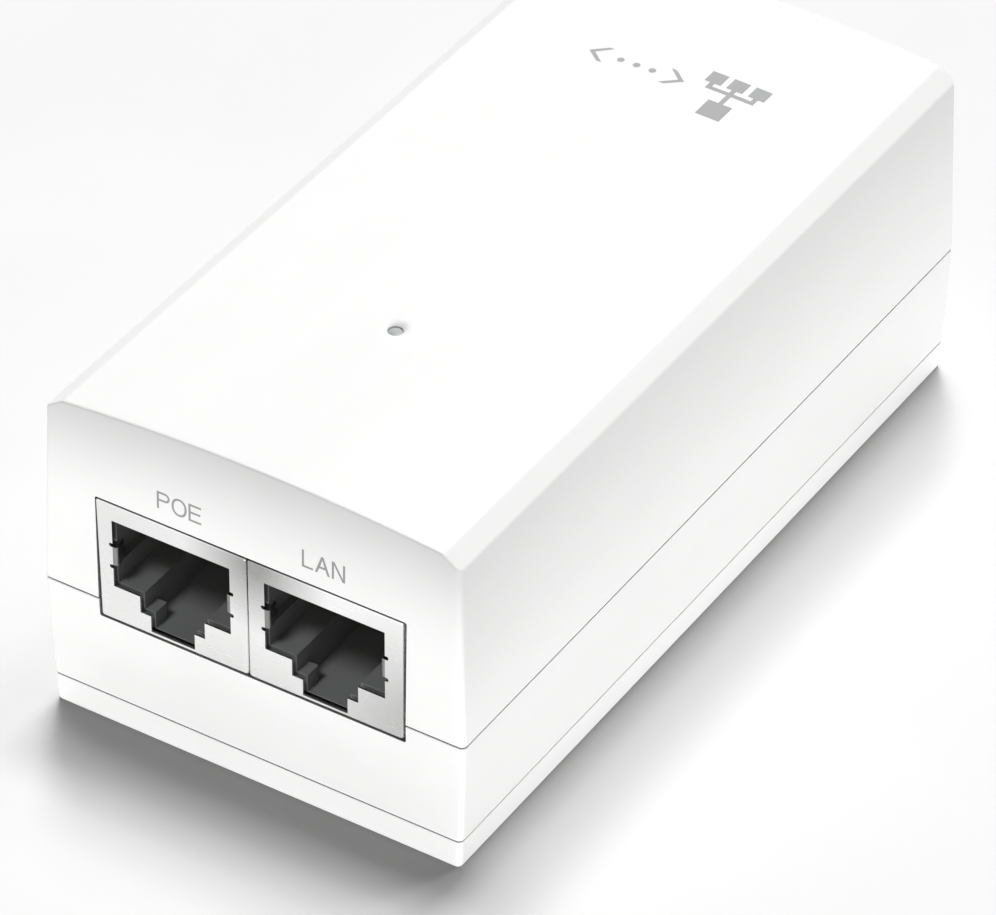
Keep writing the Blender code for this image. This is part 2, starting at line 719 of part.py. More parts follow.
def make_blade(x, z):
    """A flat blade with a chamfered tip, bent down at the back into the board."""
    half_x, half_z = BLADE[0] / 2, BLADE[1] / 2
    tip_y = INLET_FACE_Y - (0.9 if x else 0.4)
    rings = []
    for y, shrink in ((blade_tail_y(x) - 0.6, 0.0), (tip_y - 1.2, 0.0), (tip_y, 0.5)):
        hx, hz = half_x - shrink, half_z - shrink * 1.6
        rings.append([(x - hx, y, z - hz), (x + hx, y, z - hz), (x + hx, y, z + hz), (x - hx, y, z + hz)])
    blade = loft(rings)
    tail_y = blade_tail_y(x)
    tail = box(
        (x - half_x + 0.02, x + half_x - 0.02),
        (tail_y - 0.58, tail_y + 0.6),
        (BOARD_Z[0] - 1.2, z + half_z - 0.02),
    )
    return fuse(blade, tail)


# ---- board and components -----------------------------------------------------------
def make_board():
    board = box((-BOARD_HALF_X, BOARD_HALF_X), BOARD_Y, BOARD_Z)
    through = (BOARD_Z[0] - 1, BOARD_Z[1] + 1)
    for x, y in SCREWS_XY:
        if y < BOARD_Y[1]:
            cut(board, cylinder((x, y), SCREW_HOLE_R + 0.1, *through, 16))
    for centre in jack_centres().values():
        for index in range(CONTACTS):
            pin = pin_xy(centre, index)
            cut(board, cylinder((pin[0], pin[1]), 0.55, *through, 6))
        for side in (-1, 1):
            leg_x, leg_y = shield_leg_xy(centre, side)
            cut(board, box((leg_x - 0.45, leg_x + 0.45), (leg_y - 1.1, leg_y + 1.1), through))
    for x, _ in blade_centres():
        y = blade_tail_y(x)
        cut(board, box((x - 1.3, x + 1.3), (y - 0.9, y + 0.9), through))
    return board


def jack_centres():
    return {"poe": JACKS_X - JACK_PITCH / 2, "lan": JACKS_X + JACK_PITCH / 2}


SEAT_Z = BOARD_Z[1] + GAP  # underside of whatever stands on the board


def standing_can(centre, radius, height):
    """An electrolytic capacitor: a can with a rolled groove and a rounded top."""
    return turned(
        [
            (radius - 0.3, SEAT_Z),
            (radius, SEAT_Z + 0.4),
            (radius, SEAT_Z + 1.4),
            (radius - 0.35, SEAT_Z + 1.8),
            (radius, SEAT_Z + 2.2),
            (radius, SEAT_Z + height - 0.5),
            (radius - 0.5, SEAT_Z + height),
        ],
        centre,
        24,
    )


def chip(x, y, half_x, half_y, height, legs, base=SEAT_Z, down=1):
    """A moulded package with gull-wing legs along its two long sides.

    down is 1 on top of the board and -1 underneath it, where base is the lowest level.
    """
    lead_z = (base, base + 0.3) if down > 0 else (base + height - 0.3, base + height)
    block_z = (base + 0.12, base + height) if down > 0 else (base, base + height - 0.12)
    package = box((x - half_x, x + half_x), (y - half_y, y + half_y), block_z)
    for side in (-1, 1):
        for i in range(legs):
            lx = x + (i - (legs - 1) / 2) * (2 * half_x / legs)
            span = sorted((y + side * (half_y - 0.2), y + side * (half_y + 0.9)))
            fuse(package, box((lx - 0.2, lx + 0.2), span, lead_z))
    return package


def disc(x, y, radius, thickness):
    """A disc capacitor or varistor, standing on edge, with two leads down to the board."""
    centre_z = SEAT_Z + radius + 1.0
    half = thickness / 2
    face = radius - 0.6
    body = turned(
        [(face, x - half), (radius, x - half + 0.5), (radius, x + half - 0.5), (face, x + half)],
        (y, centre_z),
        20,
        "x",
    )
    for side in (-1, 1):
        ly = y + side * radius * 0.55
        fuse(body, box((x - 0.3, x + 0.3), (ly - 0.3, ly + 0.3), (SEAT_Z, centre_z)))
    return body


TRANSFORMER_XY = (-6.5, -4.6)
TRANSFORMER_CORE = (16.0, 13.0, 11.0)  # width, height and length of the ferrite


def make_transformer_core():
    """Two E-shaped ferrites, glued into one block with a window on either side of the post."""
    x, y = TRANSFORMER_XY
    width, height, length = TRANSFORMER_CORE
    low = SEAT_Z + 2.4
    core = box((x - width / 2, x + width / 2), (y - length / 2, y + length / 2), (low, low + height))
    for side in (-1, 1):
        span = sorted((x + side * 2.3, x + side * 5.8))
        cut(core, box(span, (y - length, y + length), (low + 2.1, low + height - 2.1)))
    return core


def make_transformer_winding():
    """The bobbin and its taped coil, wrapped round the middle post of the core."""
    x, y = TRANSFORMER_XY
    _, height, length = TRANSFORMER_CORE
    low = SEAT_Z + 2.4
    mid_z = low + height / 2
    window_half = height / 2 - 2.1 - GAP
    outer = 5.8 - GAP
    coil = box((x - outer, x + outer), (y - 8.0, y + 8.0), (mid_z - window_half, mid_z + window_half))
    clear_x, clear_y = 2.3 + GAP, length / 2 + GAP
    post = box((x - clear_x, x + clear_x), (y - clear_y, y + clear_y), (low, low + height))
    cut(coil, post)
    for end in (-1, 1):
        rail_y = sorted((y + end * clear_y, y + end * (length / 2 + 3.2)))
        fuse(coil, box((x - 7.5, x + 7.5), rail_y, (SEAT_Z + 0.6, mid_z - window_half + 0.9)))
        lip_y = sorted((y + end * (clear_y + 0.02), y + end * (length / 2 + 3.0)))
        fuse(coil, box((x - 6.4, x + 6.4), lip_y, (mid_z + window_half - 0.9, mid_z + window_half + 0.02)))
        for i in range(4):
            px = x + (i - 1.5) * 4.0
            py = y + end * (length / 2 + 1.8)
            fuse(coil, box((px - 0.35, px + 0.35), (py - 0.35, py + 0.35), (SEAT_Z, SEAT_Z + 1)))
    return coil


CHOKE_XY = (12.6, 10.6)


def make_choke_core():
    x, y = CHOKE_XY
    ring = cylinder((x, y), 5.4, SEAT_Z + 1.2, SEAT_Z + 6.2, 24)
    return cut(ring, cylinder((x, y), 2.6, SEAT_Z, SEAT_Z + 8, 20))


def make_choke_winding(side):
    """Half of the choke's wire: a stack of turns wrapped round one side of the core."""
    x, y = CHOKE_XY
    winding = None
    low, high = SEAT_Z + 0.55, SEAT_Z + 6.85
    for i in range(5):
        angle = math.radians((i - 2) * 22) + (0 if side > 0 else math.pi)
        direction = Vector((math.cos(angle), math.sin(angle)))
        across = Vector((-direction.y, direction.x))
        wire = 0.42
        corners = []
        for along, beside in ((1.75, -1), (6.25, -1), (6.25, 1), (1.75, 1)):
            point = Vector((x, y)) + direction * along + across * beside * wire
            corners.append(tuple(point))
        turn = prism(corners, "z", low, high)
        inner = []
        for along in (2.3, 5.7):
            for beside in (-2, 2) if along < 3 else (2, -2):
                point = Vector((x, y)) + direction * along + across * beside * wire
                inner.append(tuple(point))
        cut(turn, prism(inner, "z", SEAT_Z + 0.95, SEAT_Z + 6.45))
        winding = turn if winding is None else fuse(winding, turn)
    # The turns press together along the outside of the core.
    arc = []
    for radius, order in ((5.75, 1), (6.2, -1)):
        for i in range(9)[::order]:
            angle = math.radians((i - 4) * 11) + (0 if side > 0 else math.pi)
            arc.append((x + radius * math.cos(angle), y + radius * math.sin(angle)))
    return fuse(winding, prism(arc, "z", low + 0.6, low + 1.8))


def make_output_inductor(x, y):
    """A drum core with its coil between two flanges."""
    return turned(
        [
            (4.0, SEAT_Z),
            (4.0, SEAT_Z + 1.2),
            (3.4, SEAT_Z + 1.25),
            (3.4, SEAT_Z + 5.75),
            (4.0, SEAT_Z + 5.8),
            (4.0, SEAT_Z + 7.0),
        ],
        (x, y),
        20,
    )


def make_heat_sink():
    """A bent aluminium plate standing on the board, with three cooling slots."""
    sink = box((1.9, 3.1), (-16.2, -4.6), (SEAT_Z, SEAT_Z + 16.0))
    fuse(sink, box((1.95, 6.2), (-16.2, -15.0), (SEAT_Z + 2.0, SEAT_Z + 15.9)))
    for z in (SEAT_Z + 12.0, SEAT_Z + 13.8):
        cut(sink, box((1.0, 4.0), (-13.5, -7.0), (z - 0.4, z + 0.4)))
    return sink


def make_output_rectifier():
    """A power package, bolted flat against the heat sink, with three legs."""
    body = box((3.1 + GAP, 7.2), (-14.6, -6.4), (SEAT_Z + 3.2, SEAT_Z + 11.4))
    fuse(body, box((3.12 + GAP, 4.4), (-14.4, -6.6), (SEAT_Z + 11.0, SEAT_Z + 14.6)))
    for y in (-13.0, -10.5, -8.0):
        fuse(body, box((4.9, 5.6), (y - 0.4, y + 0.4), (SEAT_Z, SEAT_Z + 3.5)))
    return body


def make_light_pipe():
    return turned(
        [
            (1.3, SEAT_Z + 1.6),
            (1.4, SEAT_Z + 2.2),
            (1.4, CAVITY_ROOF_Z - 0.9),
            (LED_PIPE_R + 0.05, CAVITY_ROOF_Z - 0.3),
            (LED_PIPE_R, HEIGHT - 0.35),
            (LED_PIPE_R - 0.2, HEIGHT - 0.2),
        ],
        LED_XY,
        16,
    )


def make_status_led():
    x, y = LED_XY
    led = box((x - 0.8, x + 0.8), (y - 0.4, y + 0.4), (SEAT_Z, SEAT_Z + 0.35))
    return fuse(led, box((x - 0.5, x + 0.5), (y - 0.38, y + 0.38), (SEAT_Z + 0.2, SEAT_Z + 0.7)))


def make_insulation_sheet():
    """Barrier paper under the mains end of the board, notched round the inlet's cradle."""
    sheet = box((-16.4, 16.4), (-14.0, 21.0), (7.2, 7.6))
    for side in (-1, 1):
        span = sorted((side * 15.0, side * 17.0))
        cut(sheet, box(span, (16.0, 22.0), (7.0, 8.0)))
    return sheet


def make_fuse(x, y):
    """A small square mains fuse on two legs."""
    body = box((x - 2.1, x + 2.1), (y - 4.2, y + 4.2), (SEAT_Z + 0.8, SEAT_Z + 8.4))
    for side in (-1, 1):
        leg_y = y + side * 2.5
        fuse(body, box((x - 0.3, x + 0.3), (leg_y - 0.3, leg_y + 0.3), (SEAT_Z, SEAT_Z + 1.2)))
    return body


def make_film_capacitor(x, y, size):
    width, length, height = size
    body = box(
        (x - width / 2, x + width / 2), (y - length / 2, y + length / 2), (SEAT_Z + 0.3, SEAT_Z + height)
    )
    for side in (-1, 1):
        leg_x = x + side * (width / 2 - 1.5)
        fuse(body, box((leg_x - 0.35, leg_x + 0.35), (y - 0.35, y + 0.35), (SEAT_Z, SEAT_Z + 0.8)))
    return body


# ---- assembly -----------------------------------------------------------------------
def build_case(case, look):
    place(make_top_cover(), "top_cover", look["case_plastic"], case)
    place(make_bottom_case(), "bottom_case", look["case_plastic"], case)
    for number, (x, y) in enumerate(SCREWS_XY, 1):
        screw = make_case_screw(x, y)
        place(screw, f"case_screw_{number}", look["zinc_steel"], case, (x, y, SCREW_HEAD_Z[0]))
    place(make_light_pipe(), "led_light_pipe", look["light_pipe"], case, (*LED_XY, HEIGHT))
    place(make_insulation_sheet(), "insulation_sheet", look["insulation"], case)


def build_jacks(case, look):
    for port, x in jack_centres().items():
        seat = (x, JACK_FACE_Y, JACK_Z[0])
        place(make_jack_shield(x), f"{port}_jack_shield", look["plated_steel"], case, seat)
        place(make_jack_insert(x), f"{port}_jack_insert", look["black_plastic"], case, seat)
        carrier = make_contact_carrier(x)
        place(carrier, f"{port}_contact_carrier", look["black_plastic"], case, seat)
        pivot = (x, *CONTACT_PIVOT)
        fingers = group(f"{port}_contacts", pivot)
        for index in range(CONTACTS):
            finger = make_contact(x, index)
            origin = (contact_x(x, index), *CONTACT_PIVOT)
            place(finger, f"{port}_contact_{index + 1}", look["gold_contact"], fingers, origin)


def build_inlet(case, look):
    place(make_inlet_body(), "ac_inlet_body", look["black_plastic"], case)
    for name, (x, z) in zip(("neutral", "line", "earth"), blade_centres()):
        place(make_blade(x, z), f"ac_{name}_blade", look["zinc_steel"], case)


def build_electronics(case, look):
    place(make_board(), "main_board", look["board"], case)
    place(make_status_led(), "status_led", look["light_pipe"], case)
    place(make_fuse(-13.0, 13.6), "mains_fuse", look["chip_package"], case)
    place(disc(-17.2, 5.4, 3.8, 3.2), "surge_varistor", look["ceramic_disc"], case)
    place(make_film_capacitor(-3.0, 11.0, (12.5, 6.0, 11.0)), "x_capacitor", look["film_capacitor"], case)
    place(make_choke_core(), "choke_core", look["ferrite"], case)
    for number, side in enumerate((-1, 1), 1):
        place(make_choke_winding(side), f"choke_winding_{number}", look["copper"], case)
    place(standing_can((12.4, -1.6), 6.2, 19.0), "bulk_capacitor", look["capacitor_sleeve"], case)
    place(make_transformer_core(), "transformer_core", look["ferrite"], case)
    place(make_transformer_winding(), "transformer_winding", look["winding_tape"], case)
    place(make_heat_sink(), "heat_sink", look["aluminium"], case)
    place(make_output_rectifier(), "output_rectifier", look["chip_package"], case)
    place(standing_can((-6.2, -20.2), 4.0, 12.0), "output_capacitor_1", look["capacitor_sleeve"], case)
    place(standing_can((6.2, -20.8), 3.6, 12.0), "output_capacitor_2", look["capacitor_sleeve"], case)
    place(make_output_inductor(12.9, -13.2), "output_inductor", look["ferrite"], case)
    place(disc(-17.2, -9.0, 3.6, 3.0), "y_capacitor", look["ceramic_disc"], case)
    under = BOARD_Z[0] - GAP
    bridge = chip(10.0, 12.0, 3.2, 2.4, 2.2, 2, under - 2.2, -1)
    place(bridge, "bridge_rectifier", look["chip_package"], case)
    controller = chip(-3.0, 3.0, 2.5, 2.0, 1.7, 4, under - 1.7, -1)
    place(controller, "switching_controller", look["chip_package"], case)
    coupler = chip(6.5, -4.0, 2.3, 3.1, 2.2, 2, under - 2.2, -1)
    place(coupler, "optocoupler", look["chip_package"], case)
    magnetics = chip(0.0, -19.4, 7.6, 4.4, 3.6, 12, under - 3.6, -1)
    place(magnetics, "lan_magnetics", look["chip_package"], case)


def main():
    for obj in list(bpy.data.objects):
        bpy.data.objects.remove(obj)
    look = make_materials()
    case = group("case")
    build_case(case, look)
    build_jacks(case, look)
    build_inlet(case, look)
    build_electronics(case, look)
    bracket = group("bracket")
    place(make_wall_bracket(), "wall_bracket", look["bracket_plastic"], bracket)


main()
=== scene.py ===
"""Looks of the PoE injector: fine shells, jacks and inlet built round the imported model.

All lengths are in millimetres and become metres in new_piece(). The frame is the model's:
+Z up, the jacks face -Y, the mains inlet faces +Y.
"""

import math

import bmesh
import bpy
from mathutils import Matrix, Vector


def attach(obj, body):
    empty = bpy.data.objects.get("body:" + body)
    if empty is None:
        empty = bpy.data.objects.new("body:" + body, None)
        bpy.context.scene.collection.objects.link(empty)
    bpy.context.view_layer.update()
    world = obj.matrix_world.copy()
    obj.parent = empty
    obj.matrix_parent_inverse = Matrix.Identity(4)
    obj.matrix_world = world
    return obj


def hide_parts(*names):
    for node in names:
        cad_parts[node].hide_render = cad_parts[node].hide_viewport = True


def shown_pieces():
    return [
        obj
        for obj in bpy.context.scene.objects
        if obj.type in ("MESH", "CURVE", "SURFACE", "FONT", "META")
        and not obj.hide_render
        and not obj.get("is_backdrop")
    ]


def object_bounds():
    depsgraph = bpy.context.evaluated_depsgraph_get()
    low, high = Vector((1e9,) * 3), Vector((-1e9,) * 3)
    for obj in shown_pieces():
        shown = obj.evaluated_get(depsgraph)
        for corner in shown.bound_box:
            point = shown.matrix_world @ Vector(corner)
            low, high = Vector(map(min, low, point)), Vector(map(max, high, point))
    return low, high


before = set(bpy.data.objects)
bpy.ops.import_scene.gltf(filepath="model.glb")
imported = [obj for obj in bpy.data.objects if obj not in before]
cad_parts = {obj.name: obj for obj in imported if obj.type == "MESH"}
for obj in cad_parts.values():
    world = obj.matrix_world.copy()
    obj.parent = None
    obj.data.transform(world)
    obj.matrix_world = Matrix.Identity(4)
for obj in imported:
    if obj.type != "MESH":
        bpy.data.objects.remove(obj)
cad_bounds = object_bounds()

MM = 0.001
WELD = 1e-7  # metres between points of a CAD mesh that count as one

# ---- camera -------------------------------------------------------------------------
CAMERA_AZIMUTH = math.radians(31.88)
CAMERA_ELEVATION = math.radians(38.063)
CAMERA_ROLL = math.radians(0.459)
CAMERA_PLACE = (233.38, -378.14, 355.93)
CAMERA_LENS = 222.3
SENSOR = 36.0

# ---- sizes of the case --------------------------------------------------------------
# Sections of the leaning walls: half width, half length and height.
SHOULDER = (21.19, 42.76, 32.9)
WIDEST = (21.85, 43.15, 14.0)  # at the parting line
CASE_FOOT = (21.46, 42.95, 3.1)
BRACKET_TOP = (21.45, 42.94, 3.0)
BRACKET_FOOT = (21.31, 42.87, 0.0)

CORNER = 0.55  # radius of the upright corners
CROWN_Z = 35.09  # height of the roof along its middle
CROWN_DROP = 0.00252  # the roof falls by this times the square of the distance from there
CHAMFER_SLOPE = 0.698
CHAMFER_BLEND = 0.05
EDGE_ROUND = 0.16
FOOT_ROUND = 0.3
SEAM_HALF = 0.075
SEAM_EDGE = 0.07  # small chamfer on both sides of a seam
UNDERCUT, UNDERCUT_INSET = 0.25, 0.4  # shells meet on inner rims, so their seams are deep

# ---- lights -------------------------------------------------------------------------
# Soft distant lights: azimuth, elevation and angular size in degrees, and strength. The
# strengths for the floor and the object, and the spots' powers, come from a least-squares
# fit of renders with one light at a time. The rest was chosen.
FLOOR_SUNS = [
    (123, 60, 9, 0.14),
    (150, 60, 9, 0.38),
    (150, 72, 9, 0.5),
    (190, 75, 9, 1.82),
    (213, 57, 9, 0.24),
    (213, 65, 9, 1.64),
    (213, 79, 9, 1.52),
    (213, 86, 9, 0.3),
    (240, 75, 9, 0.69),
]
OBJECT_SUNS = [
    (345, 60, 15, 0.3),
    (180, 60, 30, 2.77),
    (90, 25, 25, 0.5),
    (213, 20, 30, 0.75),
    (45, 5, 20, 0.4),
]
JACK_SUNS = [(345, 60, 15, 2.45), (32, 38, 10, 0.45)]

# Spots that skim one side: azimuth in degrees, height of the beam's upper edge and distance
# of the side from the middle in metres, softness of the edge, and power.
SKIMMING_SPOTS = {
    "front_spot": (0, 0.0405, 0.043, 0.062, 21.4),
    "side_spot": (90, 0.042, 0.0215, 0.12, 12.6),
    "low_front_spot": (0, 0.007, 0.043, 0.08, 44.9),
    "low_side_spot": (90, 0.007, 0.0215, 0.08, 38.3),
}

# ---- places and looks of the small parts --------------------------------------------
JACK_X = {"poe": -8.24, "lan": 7.64}
JACK_FACE = -43.02
CONTACTS, CONTACT_PITCH = 8, 1.02
LED_XY = (-0.2, -19.65)

WHITE = (0.86, 0.86, 0.855)
# Areas of the jacks' tin plate with painted shade, standing in for darker reflections: x, z and
# radius, and how dark they are in the middle.
TIN_PAINTED_SHADE = [(0.6, 24.8, 7.5, 1.0), (16.5, 15.0, 11.0, 0.58), (-14.0, 22.0, 16.0, 0.2)]


# ---- mesh helpers -------------------------------------------------------------------
def link(obj):
    bpy.context.scene.collection.objects.link(obj)
    return obj


def new_piece(name, bm):
    """An object in metres from a bmesh in millimetres, with doubles merged and normals out."""
    bmesh.ops.remove_doubles(bm, verts=bm.verts, dist=0.0005)
    bmesh.ops.recalc_face_normals(bm, faces=bm.faces)
    bm.transform(Matrix.Scale(MM, 4))
    mesh = bpy.data.meshes.new(name)
    bm.to_mesh(mesh)
    bm.free()
    return link(bpy.data.objects.new(name, mesh))


def bridge(bm, rings):
    """Walls through rings of points that all have the same count. Returns their vertices."""
    rows = [[bm.verts.new(point) for point in ring] for ring in rings]
    count = len(rows[0])
    for low, high in zip(rows, rows[1:]):
        for i in range(count):
            j = (i + 1) % count
            bm.faces.new((low[i], low[j], high[j], high[i]))
    return rows


def solid(bm, rings):
    """Walls through rings, closed at both ends."""
    rows = bridge(bm, rings)
    bm.faces.new(rows[0])
    bm.faces.new(rows[-1])


def loft(rings):
    """A closed solid through rings of points that all have the same count."""
    bm = bmesh.new()
    solid(bm, rings)
    return new_piece("tool", bm)


def prism(outline, axis, start, end):
    """An outline extruded along an axis: (x, y) along z, or (x, z) along y."""
    if axis == "y":
        return loft([[(u, w, v) for u, v in outline] for w in (start, end)])
    return loft([[(u, v, w) for u, v in outline] for w in (start, end)])


def block(x, y, z):
    """A box from its spans along x, y and z."""
    corners = [(x[0], y[0]), (x[1], y[0]), (x[1], y[1]), (x[0], y[1])]
    return prism(corners, "z", z[0], z[1])


def lathe(profile, centre):
    """A solid of revolution about a vertical axis. The profile lists (radius, height)."""
    cx, cy = centre
    rings = []
    for radius, z in profile:
        angles = [math.tau * i / 48 for i in range(48)]
        rings.append([(cx + radius * math.cos(a), cy + radius * math.sin(a), z) for a in angles])
    return loft(rings)


def boolean(target, tools, operation):
    """Applies the tools to the target one by one, and deletes them."""
    for tool in tools:
        modifier = target.modifiers.new(operation, "BOOLEAN")
        modifier.object = tool
        modifier.operation = operation
        modifier.solver = "EXACT"
        graph = bpy.context.evaluated_depsgraph_get()
        mesh = bpy.data.meshes.new_from_object(target.evaluated_get(graph))
        target.modifiers.clear()
        target.data = mesh
        bpy.data.objects.remove(tool)
    return target


def cut(target, *tools):
    return boolean(target, tools, "DIFFERENCE")


def fuse(target, *tools):
    return boolean(target, tools, "UNION")


def keep(target, *tools):
    return boolean(target, tools, "INTERSECT")


def copy_of(node):
    """A closed copy of a CAD node, to build on."""
    bm = bmesh.new()
    bm.from_mesh(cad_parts[node].data)
    bmesh.ops.remove_doubles(bm, verts=bm.verts, dist=WELD)
    mesh = bpy.data.meshes.new(node)
    bm.to_mesh(mesh)
    bm.free()
    return link(bpy.data.objects.new("tool", mesh))


def soften(obj, degrees=32):
    """Smooth shading between edges sharper than an angle, with large flat faces kept flat."""
    for layer in ("custom_normal", "sharp_edge", "sharp_face"):
        if layer in obj.data.attributes:
            obj.data.attributes.remove(obj.data.attributes[layer])
    obj.data.shade_smooth()
    obj.data.set_sharp_from_angle(angle=math.radians(degrees))
    modifier = obj.modifiers.new("weighted", "WEIGHTED_NORMAL")
    modifier.keep_sharp = True
    return obj


def finish_piece(obj, name, material, body, slot, *replaced):
    """Names a piece, gives it its material and body, and hides the nodes it stands for."""
    obj.name = name
    obj.data.name = name
    obj.data.materials.clear()
    obj.data.materials.append(material)
    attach(obj, body)
    if replaced:
        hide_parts(*replaced)
    return obj


def paint_reveal_shade(shell, material):
    """Gives the deep, narrow reveal round the jacks a dark grey material: painted shade in the
    recess.
    """
    shell.data.materials.append(material)
    left, right = JACK_X["poe"] - 8.5, JACK_X["lan"] + 8.2
    for face in shell.data.polygons:
        x, y, z = (v / MM for v in face.center)
        in_window = y < -40.7 and left < x < right and 12.0 < z < 25.6
        if in_window and abs(face.normal.y) < 0.5:
            face.material_index = 1


# ---- materials ----------------------------------------------------------------------
class Nodes:
    """Short names for building a material's node tree."""

    def __init__(self, name):
        self.material = bpy.data.materials.new(name)
        self.material.use_nodes = True
        self.tree = self.material.node_tree
        self.shader = self.tree.nodes["Principled BSDF"]
        self.place = self.add("ShaderNodeTexCoord").outputs["Object"]

    def add(self, kind, **values):
        node = self.tree.nodes.new(kind)
        for key, value in values.items():
            if key in node.inputs:
                node.inputs[key].default_value = value
            else:
                setattr(node, key, value)
        return node

    def join(self, source, target):
        self.tree.links.new(source, target)

    def set(self, **values):
        for key, value in values.items():
            self.shader.inputs[key.replace("_", " ")].default_value = value

    def noise(self, scale, detail=2.0, stretch=None):
        """Noise with scale per metre. A larger stretch makes it finer along that axis."""
        node = self.add("ShaderNodeTexNoise", Scale=scale, Detail=detail)
        if stretch is None:
            self.join(self.place, node.inputs["Vector"])
        else:
            mapping = self.add("ShaderNodeMapping")
            mapping.inputs["Scale"].default_value = stretch
            self.join(self.place, mapping.inputs["Vector"])
            self.join(mapping.outputs["Vector"], node.inputs["Vector"])
        return node.outputs["Fac"]

    def ramp(self, source, low, high, start=0.3, end=0.7):
        """A colour between low and high, as source goes from start to end."""
        node = self.add("ShaderNodeValToRGB")
        node.color_ramp.elements[0].position = start
        node.color_ramp.elements[1].position = end
        node.color_ramp.elements[0].color = (*low, 1.0)
        node.color_ramp.elements[1].color = (*high, 1.0)
        self.join(source, node.inputs["Fac"])
        return node.outputs["Color"]

    def spread(self, source, low, high, start=0.3, end=0.7):
        """A number between low and high, as source goes from start to end."""
        node = self.add("ShaderNodeMapRange")
        node.inputs["From Min"].default_value = start
        node.inputs["From Max"].default_value = end
        node.inputs["To Min"].default_value = low
        node.inputs["To Max"].default_value = high
        self.join(source, node.inputs["Value"])
        return node.outputs["Result"]

    def bump(self, source, height, after=None):
        """A normal raised by height in millimetres, on top of the normal given as after."""
        node = self.add("ShaderNodeBump", Strength=1.0, Distance=height * MM)
        self.join(source, node.inputs["Height"])
        if after is not None:
            self.join(after, node.inputs["Normal"])
        return node.outputs["Normal"]

    def total(self, first, second):
        """The sum of two numbers."""
        node = self.add("ShaderNodeMath", operation="ADD")
        self.join(first, node.inputs[0])
        self.join(second, node.inputs[1])
        return node.outputs["Value"]

    def ball(self, x, z, radius):
        """One at a line along y through (x, z) in millimetres, fading to nothing at radius."""
        place = self.add("ShaderNodeMapping", vector_type="POINT")
        place.inputs["Location"].default_value = (-x / radius, 0.0, -z / radius)
        place.inputs["Scale"].default_value = (1 / (radius * MM), 0.0, 1 / (radius * MM))
        self.join(self.place, place.inputs["Vector"])
        gradient = self.add("ShaderNodeTexGradient", gradient_type="SPHERICAL")
        self.join(place.outputs["Vector"], gradient.inputs["Vector"])
        return gradient.outputs["Fac"]

    def colour(self, source):
        self.join(source, self.shader.inputs["Base Color"])

    def rough(self, source):
        self.join(source, self.shader.inputs["Roughness"])

    def normal(self, source):
        self.join(source, self.shader.inputs["Normal"])


def tint(colour, factor):
    """A lighter or darker colour."""
    return tuple(min(1.0, c * factor) for c in colour)


def moulded(name, colour, rough=(0.42, 0.5), grain=9000.0, height=0.004, variation=0.02):
    """Moulded plastic: an etched tool finish over faint flow marks."""
    n = Nodes(name)
    flow = n.noise(70.0, 3.0, (1.0, 0.35, 1.0))
    n.colour(n.ramp(flow, tint(colour, 1 - variation), tint(colour, 1 + variation)))
    etch = n.noise(grain, 3.0)
    n.rough(n.spread(etch, *rough))
    n.normal(n.bump(etch, height))
    n.material.diffuse_color = (*colour, 1.0)
    return n.material


def sheet_metal(name, colour, rough, stretch=(1.0, 1.0, 14.0), height=0.0002):
    """Plated or rolled metal: fine directional streaks and a faint unevenness."""
    n = Nodes(name)
    n.set(Metallic=1.0)
    streak = n.noise(900.0, 3.0, stretch)
    blotch = n.noise(110.0, 1.0)
    n.colour(n.ramp(blotch, tint(colour, 0.95), tint(colour, 1.02)))
    n.rough(n.spread(streak, *rough))
    wave = n.bump(n.noise(60.0, 0.0), 0.06)
    n.normal(n.bump(streak, height, wave) if height else wave)
    n.material.diffuse_color = (*colour, 1.0)
    return n.material


def tin_plate():
    """Bright tin plate, with painted shade for darker reflections between the jacks at the top
    and towards its outer sides.
    """
    n = Nodes("tin_plate")
    n.set(Metallic=1.0)
    painted_shade = None
    for x, z, radius, share in TIN_PAINTED_SHADE:
        area = n.spread(n.ball(x, z, radius), 0.0, share, 0.0, 1.0)
        painted_shade = area if painted_shade is None else n.total(painted_shade, area)
    # painted shade: the plate goes from near white to grey where the areas above lie
    n.colour(n.ramp(painted_shade, (0.95, 0.95, 0.945), (0.38, 0.38, 0.375), 0.0, 0.9))
    n.rough(n.spread(n.noise(300.0, 2.0, (1.0, 1.0, 8.0)), 0.27, 0.3))
    n.normal(n.bump(n.noise(60.0, 0.0), 0.1))
    n.material.diffuse_color = (0.8, 0.8, 0.79, 1.0)
    return n.material


